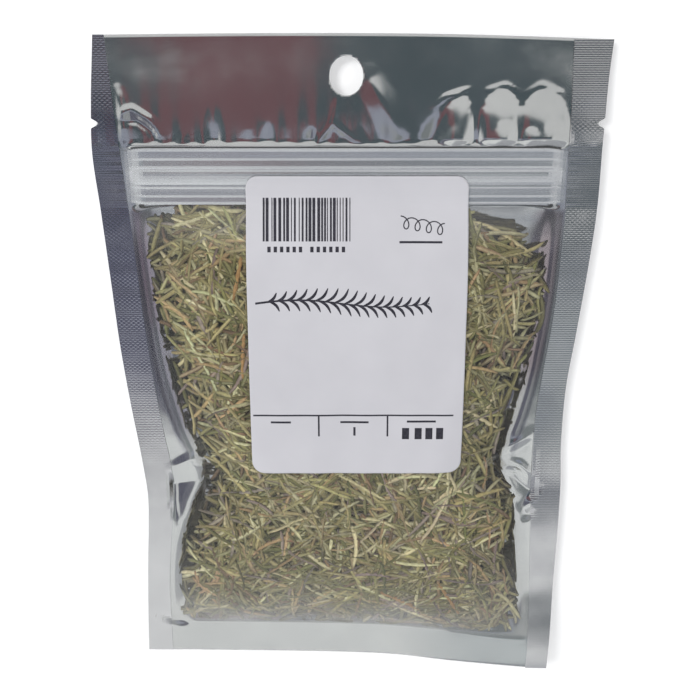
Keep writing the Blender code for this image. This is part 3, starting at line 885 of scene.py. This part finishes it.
def clear_film(name):
    m, nodes, links, p = material(name)
    out = nodes["Material Output"]
    nodes.remove(p)
    clear = nodes.new("ShaderNodeBsdfTransparent")
    clear.inputs["Color"].default_value = (0.975, 0.98, 0.975, 1)
    # Painted sheen: a whitish diffuse veil, mixed in by an attribute, stands in for the film's reflection where it
    # stands off the leaves.
    veil = nodes.new("ShaderNodeBsdfDiffuse")
    veil.inputs["Color"].default_value = (0.80, 0.80, 0.78, 1)
    attr = nodes.new("ShaderNodeAttribute")
    attr.attribute_name = "painted_sheen"
    body = nodes.new("ShaderNodeMixShader")
    links.new(attr.outputs["Fac"], body.inputs["Fac"])
    links.new(clear.outputs["BSDF"], body.inputs[1])
    links.new(veil.outputs["BSDF"], body.inputs[2])
    gloss = nodes.new("ShaderNodeBsdfGlossy")
    gloss.inputs["Color"].default_value = (1, 1, 1, 1)
    gloss.inputs["Roughness"].default_value = 0.13
    n1 = noise(nodes, links, 260, 4)
    n2 = noise(nodes, links, 900, 3)
    nrm = bump(nodes, links, n2, 0.000006, 0.5, bump(nodes, links, n1, 0.00003, 0.6))
    links.new(nrm, gloss.inputs["Normal"])
    facing = nodes.new("ShaderNodeLayerWeight")
    facing.inputs["Blend"].default_value = 0.5
    links.new(nrm, facing.inputs["Normal"])
    fifth = nodes.new("ShaderNodeMath")
    fifth.operation = "POWER"
    links.new(facing.outputs["Facing"], fifth.inputs[0])
    fifth.inputs[1].default_value = 4.0
    share = nodes.new("ShaderNodeMath")
    share.operation = "MULTIPLY_ADD"
    links.new(fifth.outputs[0], share.inputs[0])
    share.inputs[1].default_value = 0.55
    share.inputs[2].default_value = 0.020
    top = nodes.new("ShaderNodeMixShader")
    links.new(share.outputs[0], top.inputs["Fac"])
    links.new(body.outputs["Shader"], top.inputs[1])
    links.new(gloss.outputs["BSDF"], top.inputs[2])
    links.new(top.outputs["Shader"], out.inputs["Surface"])
    return m


def leaf_material(name):
    m, nodes, links, p = material(name)
    attr = nodes.new("ShaderNodeAttribute")
    attr.attribute_name = "tint"
    n1 = noise(nodes, links, 900, 4)
    n2 = noise(nodes, links, 160, 3)
    mix = nodes.new("ShaderNodeMix")
    mix.data_type = "RGBA"
    mix.blend_type = "MULTIPLY"
    mix.inputs[0].default_value = 1.0
    links.new(attr.outputs["Color"], mix.inputs[6])
    links.new(ramp(nodes, links, n1, [(0.25, (0.66, 0.64, 0.62)), (0.55, (1.0, 1.0, 1.0)), (0.8, (1.28, 1.27, 1.24))]), mix.inputs[7])
    mix2 = nodes.new("ShaderNodeMix")
    mix2.data_type = "RGBA"
    mix2.blend_type = "MULTIPLY"
    mix2.inputs[0].default_value = 1.0
    links.new(mix.outputs[2], mix2.inputs[6])
    links.new(ramp(nodes, links, n2, [(0.3, (0.86, 0.84, 0.84)), (0.7, (1.10, 1.12, 1.06))]), mix2.inputs[7])
    links.new(mix2.outputs[2], p.inputs["Base Color"])
    links.new(remap(nodes, links, n1, 0.50, 0.78), p.inputs["Roughness"])
    p.inputs["Specular IOR Level"].default_value = 0.35
    n3 = noise(nodes, links, 2600, 3)
    links.new(bump(nodes, links, n3, 0.00006, 0.5), p.inputs["Normal"])
    return m


def bed_material(name):
    m, nodes, links, p = material(name)
    n1 = noise(nodes, links, 420, 5, 0.65, (1, 2.4, 1), 0.6)
    # Painted shade: the bed is coloured far darker than the leaves, as the shade deep between them.
    links.new(ramp(nodes, links, n1, [(0.30, srgb(24, 20, 14)), (0.5, srgb(52, 46, 32)), (0.68, srgb(92, 84, 56))]), p.inputs["Base Color"])
    p.inputs["Roughness"].default_value = 0.85
    links.new(bump(nodes, links, n1, 0.0008, 1.0), p.inputs["Normal"])
    return m


def paper_material(name):
    m, nodes, links, p = material(name)
    n1 = noise(nodes, links, 60, 3)
    links.new(ramp(nodes, links, n1, [(0.3, (0.578, 0.572, 0.606)), (0.7, (0.612, 0.606, 0.640))]), p.inputs["Base Color"])
    n2 = noise(nodes, links, 2500, 4)
    links.new(remap(nodes, links, n1, 0.46, 0.56), p.inputs["Roughness"])
    p.inputs["Specular IOR Level"].default_value = 0.35
    links.new(bump(nodes, links, n2, 0.000008, 0.5), p.inputs["Normal"])
    return m


def ink_material(name):
    m, nodes, links, p = material(name)
    n1 = noise(nodes, links, 1800, 3)
    links.new(ramp(nodes, links, n1, [(0.35, srgb(34, 33, 42)), (0.7, srgb(56, 55, 66))]), p.inputs["Base Color"])
    p.inputs["Roughness"].default_value = 0.5
    return m


def strip_material(name):
    m, nodes, links, p = material(name)
    n1 = noise(nodes, links, 120, 3, 0.5, (0.15, 1, 1))
    links.new(ramp(nodes, links, n1, [(0.3, (0.60, 0.61, 0.66)), (0.7, (0.74, 0.75, 0.79))]), p.inputs["Base Color"])
    p.inputs["Metallic"].default_value = 0.80
    links.new(remap(nodes, links, n1, 0.16, 0.26), p.inputs["Roughness"])
    return m


def give(obj, mat, slot, *replaced):
    obj.data.materials.clear()
    obj.data.materials.append(mat)
    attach(obj, "root")
    if replaced:
        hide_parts(*replaced)
    return obj


# ------------------------------------------------------------ the build
film_metal = metal_film("film_metal")
seal_metal = metal_film("seal_metal", 0.62, (0.17, 0.26), 0.000004, 0.000009)
film_clear = clear_film("film_clear")
leaf_look = leaf_material("leaf_look")
bed_look = bed_material("bed_look")
paper = paper_material("paper")
ink = ink_material("ink")
strip_look = strip_material("strip_look")

front, back = make_films()
give(front, film_clear, "clear_film", "front_film")
give(back, film_metal, "metallised_film", "back_film")
for seal in make_side_seals():
    give(seal, seal_metal, "metallised_film")


def label_height(x, y):
    """Paper bridges the small lumps of the film that it is stuck to."""
    full = rise_of(y) * pocket(x, y, 26, 26)
    d = (ZIP_Y + ZIP_HALF) - y
    ps = np.array([p[0] for p in ZIP_PROFILE])
    vs = np.array([p[1] for p in ZIP_PROFILE])
    core = sum(np.interp(d + s, ps, vs) for s in (-0.8, -0.4, 0, 0.4, 0.8)) / 5
    base = np.maximum(full, np.maximum(core, 0) + 0.04)
    return seal_plane(x, y) + SEAL_GAP / 2 + base + 0.16 * ripple(x, y, 13, 21) * ease((36 - y) / 6) * 0.9


def label_plan(gu, gv):
    gx = LABEL_X[0] + gu * (LABEL_X[1] - LABEL_X[0])
    gy = LABEL_Y[0] + gv * (LABEL_Y[1] - LABEL_Y[0])
    mid_x, mid_y = sum(LABEL_X) / 2, sum(LABEL_Y) / 2
    half_x, half_y = (LABEL_X[1] - LABEL_X[0]) / 2, (LABEL_Y[1] - LABEL_Y[0]) / 2
    ax, ay = abs(gx - mid_x) - (half_x - LABEL_R), abs(gy - mid_y) - (half_y - LABEL_R)
    corner = (ax > 0) & (ay > 0)
    far, length = np.maximum(ax, ay), np.hypot(ax, ay)
    pull = np.where(corner, far / np.maximum(length, 1e-9), 1.0)
    gx = np.where(corner, mid_x + np.sign(gx - mid_x) * (half_x - LABEL_R + ax * pull), gx)
    gy = np.where(corner, mid_y + np.sign(gy - mid_y) * (half_y - LABEL_R + ay * pull), gy)
    return gx, gy


def label_top(x, y):
    return label_height(x, y) + 0.10 + 0.16 + 0.10


def make_label():
    w, h = LABEL_X[1] - LABEL_X[0], LABEL_Y[1] - LABEL_Y[0]
    us = np.unique(np.concatenate([np.linspace(0, LABEL_R / w, 10), np.linspace(LABEL_R / w, 1 - LABEL_R / w, 60), np.linspace(1 - LABEL_R / w, 1, 10)]))
    vs = np.unique(np.concatenate([np.linspace(0, LABEL_R / h, 10), np.linspace(LABEL_R / h, 1 - LABEL_R / h, 110), np.linspace(1 - LABEL_R / h, 1, 10)]))
    gu, gv = np.meshgrid(us, vs)
    x, y = label_plan(gu, gv)
    high = label_top(x, y)
    obj, _ = closed_sheet("label", x, y, high - 0.12, high)
    return obj


def print_strip(verts, quads, path, width, rise=0.012):
    """A thin inked band along a path of plan points, lying on the label."""
    path = np.array(path, float)
    along = np.gradient(path, axis=0)
    along /= np.linalg.norm(along, axis=1, keepdims=True)
    side = np.column_stack([-along[:, 1], along[:, 0]])
    w = np.broadcast_to(np.asarray(width, float), (len(path),))[:, None] / 2
    a, b = path + side * w, path - side * w
    base = len(verts)
    for p, q in zip(a, b):
        zp, zq = float(label_top(p[0], p[1])), float(label_top(q[0], q[1]))
        verts.extend([(p[0], p[1], zp + rise), (q[0], q[1], zq + rise), (p[0], p[1], zp - 0.02), (q[0], q[1], zq - 0.02)])
    for i in range(len(path) - 1):
        o, n = base + 4 * i, base + 4 * (i + 1)
        quads.extend([(o, o + 1, n + 1, n), (o + 2, n + 2, n + 3, o + 3), (o, n, n + 2, o + 2), (o + 1, o + 3, n + 3, n + 1)])
    e = base + 4 * (len(path) - 1)
    quads.extend([(base, base + 2, base + 3, base + 1), (e, e + 1, e + 3, e + 2)])


def make_print():
    """Generic bars, ruled lines and a plain leafy ornament: no lettering."""
    rng = random.Random(2024)
    bars_v, bars_q = [], []
    x = -22.4
    module = 0.25
    while x < 0.7:
        width = module * rng.choice([1, 1, 1, 2, 2, 3])
        ys = np.linspace(30.2, 41.0, 12)
        print_strip(bars_v, bars_q, [(x + width / 2, yy) for yy in ys], width)
        x += width + module * rng.choice([1, 1, 2, 2, 3])
    bars = add_mesh("label_bars", np.array(bars_v), [np.array(bars_q)], False)

    rule_v, rule_q = [], []
    xs = np.linspace(-26.0, 27.8, 60)
    print_strip(rule_v, rule_q, [(xx, -15.9) for xx in xs], 0.44)
    for xd in (-8.4, 10.1):
        print_strip(rule_v, rule_q, [(xd, yy) for yy in np.linspace(-16.1, -21.8, 10)], 0.46)
    # Plain dashes where small figures and headings would be.
    for k in range(12):
        cx = -20.8 + k * 1.62 + (1.3 if k > 5 else 0)
        print_strip(rule_v, rule_q, [(cx, 27.5), (cx, 28.2), (cx, 28.9)], 0.85)
    for cx, cy, wide in ((-18.6, -17.8, 5.4), (1.2, -17.8, 7.6), (19.2, -17.6, 7.8), (18.2, 30.0, 11.0)):
        print_strip(rule_v, rule_q, [(xx, cy) for xx in np.linspace(cx - wide / 2, cx + wide / 2, 12)], 0.55)
    for k in range(4):
        cx = 15.0 + k * 2.9 + (0.5 if k > 0 else 0)
        print_strip(rule_v, rule_q, [(cx, yy) for yy in np.linspace(-22.6, -19.4, 5)], 1.9)
    print_strip(rule_v, rule_q, [(1.2, yy) for yy in np.linspace(-21.6, -19.2, 5)], 0.6)
    swirl = np.linspace(0, 1, 70)
    print_strip(rule_v, rule_q, list(zip(13.0 + 11.5 * swirl + 1.3 * np.sin(swirl * 25), 35.0 - 1.8 * swirl + 1.5 * np.cos(swirl * 25))), 0.30)
    rules = add_mesh("label_rules", np.array(rule_v), [np.array(rule_q)], False)

    # A plain ornament in the middle: one long stalk with pairs of slim leaves.
    orn_v, orn_q = [], []
    sx = np.linspace(-24.6, 20.6, 90)
    stalk_y = 14.4 + 0.9 * np.sin((sx + 24.6) / 45.2 * math.pi * 2.0)
    print_strip(orn_v, orn_q, list(zip(sx, stalk_y)), np.interp(sx, [-24.6, 20.6], [0.55, 0.25]))
    for k in range(17):
        bx = -21.6 + k * 2.5
        by = 14.4 + 0.9 * math.sin((bx + 24.6) / 45.2 * math.pi * 2.0)
        size = 5.2 - 2.4 * abs(k - 7) / 10
        for turn in (1, -1):
            t = np.linspace(0, 1, 12)
            a = math.radians(44)
            px = bx + (0.7 if turn < 0 else 0) + size * (t * math.cos(a) + 0.10 * np.sin(np.pi * t))
            py = by + turn * size * (t * math.sin(a) - 0.12 * np.sin(np.pi * t))
            print_strip(orn_v, orn_q, list(zip(px, py)), 0.12 + 0.62 * np.sin(np.pi * np.clip(t * 0.94 + 0.03, 0, 1)) ** 0.8)
    ornament = add_mesh("label_ornament", np.array(orn_v), [np.array(orn_q)], False)
    return bars, rules, ornament


give(make_label(), paper, "label_paper", "paper_label")
for piece in make_print():
    fix_normals(piece)
    give(piece, ink, "label_paper")


def make_zip():
    """The two webs of the press-to-close strip, crushed flat where they run into the seals."""
    groove = [(-7, -1.05), (7, -1.05), (7, -0.80), (3.4, -0.80), (3.2, -0.55), (3.0, -0.80), (1.5, -0.80), (1.5, 0.25), (1.35, 0.36), (0.6, 0.33),
              (0.6, 0.12), (1.0, 0.08), (1.0, -0.70), (-1.0, -0.70), (-1.0, 0.08), (-0.6, 0.12),
              (-0.6, 0.33), (-1.35, 0.36), (-1.5, 0.25), (-1.5, -0.80), (-3.0, -0.80), (-3.2, -0.55), (-3.4, -0.80), (-7, -0.80)]
    rib = [(-7, 0.62), (-7, 0.42), (-3.4, 0.48), (-3.2, 0.42), (-3.0, 0.48), (-0.28, 0.60), (-0.28, -0.1), (-0.62, -0.14), (-0.36, -0.48),
           (0.36, -0.48), (0.62, -0.14), (0.28, -0.1), (0.28, 0.60), (3.0, 0.48), (3.2, 0.42), (3.4, 0.48), (7, 0.42), (7, 0.62),
           (6.6, 0.72), (6.2, 0.60), (4.6, 0.56), (4.3, 0.66), (4.0, 0.56), (2.6, 0.62), (2.2, 0.76), (1.9, 0.64), (1.5, 0.98), (1.2, 1.22),
           (0.8, 1.25), (0.2, 1.17), (-0.6, 1.03), (-1.4, 0.86), (-2.0, 0.64), (-2.5, 0.60), (-2.8, 0.76), (-3.1, 0.60),
           (-4.6, 0.56), (-4.9, 0.64), (-5.2, 0.56), (-6.3, 0.60), (-6.6, 0.74)]
    made = []
    xs = np.linspace(-57.4, 55.2, 120)
    for name, profile, sign in (("zip_groove", groove, -1), ("zip_rib", rib, 1)):
        prof = np.array(profile)
        s = len(prof)
        crush = ease((xs + 57.4) / 5.0) * ease((55.2 - xs) / 5.0)
        crush = 0.06 + 0.94 * crush
        y = ZIP_Y + prof[None, :, 0] * (0.92 + 0.08 * crush[:, None])
        z = seal_plane(xs[:, None], y) + np.where(crush[:, None] < 1, prof[None, :, 1] * crush[:, None], prof[None, :, 1])
        x = np.repeat(xs[:, None], s, axis=1)
        verts = np.stack([x, y, z], axis=-1).reshape(-1, 3)
        i = np.arange(len(xs) - 1)[:, None]
        k = np.arange(s)[None, :]
        k1 = (k + 1) % s
        quads = np.stack(np.broadcast_arrays(i * s + k, i * s + k1, (i + 1) * s + k1, (i + 1) * s + k), axis=-1).reshape(-1, 4)
        ends = [np.arange(s)[None, ::-1], (np.arange(s) + (len(xs) - 1) * s)[None, :]]
        obj = add_mesh(name, verts, [quads, *ends], False)
        fix_normals(obj)
        made.append(obj)
    return made


zip_groove, zip_rib = make_zip()
give(zip_groove, strip_look, "zip_plastic", "zip_groove_strip")
give(zip_rib, strip_look, "zip_plastic", "zip_rib_strip")


def make_bed():
    """The packed mass under the leaves that can be told apart, coloured dark as painted shade."""
    u, v = np.meshgrid(np.linspace(0, 1, 130), np.linspace(0, 1, 150))
    y = -83.4 + v * (35.0 + 83.4) - u * u * (1 - v) * 3.4
    x = (fill_left(y) + 4.2) * (1 - u) + (fill_right(y) - 4.2) * u
    low = back_high(x, y) + 0.25
    lumps = 0.35 * ripple(x, y, 5, 61) + 0.30 * ripple(x, y, 2.4, 62) + 0.18 * ripple(x, y, 1.3, 63)
    rim = ease(u / 0.10) * ease((1 - u) / 0.10) * ease(v / 0.08) * ease((1 - v) / 0.08)
    high = front_low(x, y) - 2.0 + lumps - 1.2 * (1 - rim)
    high = np.maximum(np.minimum(high, front_low(x, y) - 1.2), low + 0.2)
    obj, _ = closed_sheet("packed_leaves", x, y, low, high)
    return obj


give(make_bed(), bed_look, "leaf_bed", "leaf_bed")

rng = np.random.default_rng(77)
RINGS = 9
batches = 4
per_batch = 1250
for b in range(batches):
    laid = lay_leaves(rng, per_batch, RINGS, 1.05)
    c, w, t, roll, top, under = needle_arrays(rng, laid, RINGS)
    obj = sweep(f"leaves_{b + 1}", c, w, t, roll, top, under)
    fix_normals(obj)
    give(obj, leaf_look, ["leaf_green", "leaf_khaki", "leaf_green", "leaf_brown"][b])


def loose_pieces():
    """Where each loose leaf and stem bit lies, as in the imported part."""
    r = random.Random(411)
    found = []
    tries = 0
    while len(found) < LEAVES + STEM_BITS and tries < 20000:
        tries += 1
        stem = len(found) >= LEAVES
        x, y = r.uniform(-47, 47), r.uniform(-80, 33)
        length = r.uniform(9, 16) if stem else r.uniform(9, 17)
        yaw = r.uniform(0, math.pi)
        bend = r.uniform(-0.02, 0.02) if stem else r.uniform(-0.12, 0.12)
        half_w = r.uniform(0.5, 0.7) if stem else r.uniform(0.55, 0.75)
        t = np.linspace(-0.5, 0.5, 6)
        px = x + length * (t * math.cos(yaw) - bend * (1 - 4 * t * t) * math.sin(yaw))
        py = y + length * (t * math.sin(yaw) + bend * (1 - 4 * t * t) * math.cos(yaw))
        if (px - fill_left(py) < 3.5).any() or (fill_right(py) - px < 3.5).any():
            continue
        if py.max() > 32 or py.min() < -82:
            continue
        under = (px > LABEL_X[0] - 1) & (px < LABEL_X[1] + 1) & (py > LABEL_Y[0] - 1)
        if under.any():
            continue
        if any((np.hypot(px[:, None] - q[0], py[:, None] - q[1]).min() < 3.4) for q in found):
            continue
        found.append((px, py, half_w, 0.45 if stem else 0.40, stem))
    return found


TWIG = np.array([(math.cos(a) * 0.5, math.sin(a) * 0.5) for a in (2 * math.pi * k / 10 for k in range(10))])
for i, (px, py, half_w, half_t, stem) in enumerate(loose_pieces()):
    rings = 17
    t6, tr = np.linspace(0, 1, 6), np.linspace(0, 1, rings)
    fx = np.polyval(np.polyfit(t6, px, 2), tr)
    fy = np.polyval(np.polyfit(t6, py, 2), tr)
    if stem:
        node = f"stem_bit_{i - LEAVES + 1:02d}"
        knots = 1 + 0.16 * np.sin(tr * 19 + i) + 0.10 * np.sin(tr * 47 + 2 * i)
        width = (2 * half_w * knots * np.clip(np.minimum(tr, 1 - tr) * 30 + 0.7, 0, 1))[None, :]
        thick = width * 0.9
        z = front_low(fx, fy) - thick[0] / 2 - 0.25
        z = np.minimum(np.polyval(np.polyfit(tr, z, 2), tr), z)
        centre = np.stack([fx, fy, z], axis=-1)[None]
        top = srgb(176, 138, 92)[None] * rng.uniform(0.8, 1.1)
        obj = sweep(node + "_detail", centre, width, thick, np.zeros(1), top, top * 0.8, TWIG, np.zeros(10), np.ones(10))
        fix_normals(obj)
        give(obj, leaf_look, "stem_bark", node)
    else:
        node = f"leaf_{i + 1:02d}"
        laid = dict(px=fx[None], py=fy[None], length=np.array([12.0]), width=np.array([2 * half_w]), depth=np.array([0.25]), tilt=np.array([0.0]), dim=np.array([0.4]))
        c, w, t, roll, top, under = needle_arrays(rng, laid, rings)
        obj = sweep(node + "_detail", c, w, t, roll, top, under)
        fix_normals(obj)
        give(obj, leaf_look, ["leaf_green", "leaf_khaki", "leaf_brown"][i % 3], node)

# ------------------------------------------------------------ stage
floor_mesh = bpy.data.meshes.new("floor")
floor_mesh.from_pydata([(-3, -3, 0), (3, -3, 0), (3, 3, 0), (-3, 3, 0)], [], [(0, 1, 2, 3)])
floor = bpy.data.objects.new("floor", floor_mesh)
bpy.context.scene.collection.objects.link(floor)
fm, fn, fl, fp = material("floor_look")
fp.inputs["Base Color"].default_value = (0.93, 0.93, 0.93, 1)
fp.inputs["Roughness"].default_value = 0.9
fp.inputs["Specular IOR Level"].default_value = 0.1
fp.inputs["Emission Color"].default_value = (1, 1, 1, 1)
fp.inputs["Emission Strength"].default_value = 0.22
floor_mesh.materials.append(fm)

TILT = math.radians(16.1)
REACH = 200.0
cam_data = bpy.data.cameras.new("camera")
cam_data.lens = 731.0 / 700.0 * 36.0
cam_data.sensor_width = 36.0
cam_data.clip_start = 0.01
cam = bpy.data.objects.new("camera", cam_data)
cam.location = metres([0.0, REACH * math.sin(TILT), REACH * math.cos(TILT) + SEAL_Z])
cam.rotation_euler = (-TILT, 0, 0)
bpy.context.scene.collection.objects.link(cam)
bpy.context.scene.camera = cam


def area_light(name, location, size, power, target=(0, 0, 0)):
    data = bpy.data.lights.new(name, "AREA")
    data.shape = "RECTANGLE"
    data.size, data.size_y = size
    data.energy = power
    obj = bpy.data.objects.new(name, data)
    obj.location = location
    from mathutils import Vector

    obj.rotation_euler = (Vector(target) - Vector(location)).to_track_quat("-Z", "Y").to_euler()
    obj.visible_glossy = False
    bpy.context.scene.collection.objects.link(obj)
    return obj


area_light("key", (-0.62, 0.35, 0.80), (0.42, 0.42), 5.3)
area_light("fill", (0.75, -0.3, 0.7), (0.4, 0.7), 1.2)


def make_world():
    """A pale room with a dim patch overhead, where a person would stand over the pouch."""
    world = bpy.data.worlds.new("room")
    bpy.context.scene.world = world
    world.use_nodes = True
    nodes, links = world.node_tree.nodes, world.node_tree.links
    bg = nodes["Background"]
    coords = nodes.new("ShaderNodeTexCoord")
    split = nodes.new("ShaderNodeSeparateXYZ")
    links.new(coords.outputs["Generated"], split.inputs[0])

    def math_node(op, a, b=None):
        n = nodes.new("ShaderNodeMath")
        n.operation = op
        for i, v in enumerate((a, b)):
            if v is None:
                continue
            if isinstance(v, (int, float)):
                n.inputs[i].default_value = v
            else:
                links.new(v, n.inputs[i])
        return n.outputs[0]

    def step(v, a, b):
        n = nodes.new("ShaderNodeMapRange")
        n.interpolation_type = "SMOOTHSTEP"
        n.inputs["From Min"].default_value = a
        n.inputs["From Max"].default_value = b
        links.new(v, n.inputs["Value"])
        return n.outputs["Result"]

    def mix(f, a, b):
        n = nodes.new("ShaderNodeMix")
        n.data_type = "RGBA"
        links.new(f, n.inputs[0])
        for i, v in ((6, a), (7, b)):
            if isinstance(v, tuple):
                n.inputs[i].default_value = (*v, 1)
            else:
                links.new(v, n.inputs[i])
        return n.outputs[2]

    up = math_node("MAXIMUM", split.outputs["Z"], 0.05)
    rx = math_node("DIVIDE", split.outputs["X"], up)
    ry = math_node("DIVIDE", split.outputs["Y"], up)
    slate, maroon = (0.066, 0.092, 0.108), (0.172, 0.082, 0.096)
    strip, left_low, right_low = (0.35, 0.37, 0.45), (0.125, 0.125, 0.170), (0.24, 0.26, 0.27)
    centre, bright, dull, room = (0.36, 0.37, 0.38), (0.86, 0.868, 0.868), (0.46, 0.47, 0.50), (0.72, 0.72, 0.72)
    # The ragged edges of the dim overhead shape.
    tex = nodes.new("ShaderNodeTexNoise")
    tex.inputs["Scale"].default_value = 7.0
    links.new(coords.outputs["Generated"], tex.inputs["Vector"])
    jitter = math_node("MULTIPLY", math_node("SUBTRACT", tex.outputs["Fac"], 0.5), 0.10)
    rx = math_node("ADD", rx, jitter)
    ry = math_node("ADD", ry, math_node("MULTIPLY", jitter, 0.4))
    a = math_node("MULTIPLY", step(rx, -0.255, -0.235), step(rx, -0.06, -0.08))
    b = math_node("MULTIPLY", step(rx, -0.03, -0.01), step(rx, 0.055, 0.04))
    b = math_node("MULTIPLY", b, step(ry, 0.05, 0.03))
    sky = mix(math_node("MAXIMUM", a, b), slate, maroon)
    # Below the header: the strip, then a dark left, a greyer right and a pale front.
    sky = mix(step(ry, -0.004, -0.022), sky, strip)
    lower = mix(step(rx, -0.10, -0.20), centre, left_low)
    lower = mix(step(rx, 0.10, 0.20), lower, right_low)
    sky = mix(step(ry, -0.085, -0.12), sky, lower)
    pale = mix(math_node("MULTIPLY", step(rx, 0.02, 0.12), step(ry, -0.66, -0.70)), bright, dull)
    sky = mix(step(ry, -0.36, -0.45), sky, pale)
    away_x = step(math_node("ABSOLUTE", rx), 0.50, 0.72)
    away_y = step(ry, 0.225, 0.262)
    away = math_node("MAXIMUM", math_node("MULTIPLY", away_x, step(ry, -0.6, -0.4)), away_y)
    links.new(mix(away, sky, room), bg.inputs["Color"])
    bg.inputs["Strength"].default_value = 1.0


make_world()
scene = bpy.context.scene
scene.view_settings.view_transform = "Standard"
scene.view_settings.look = "None"
scene.view_settings.exposure = 0.0
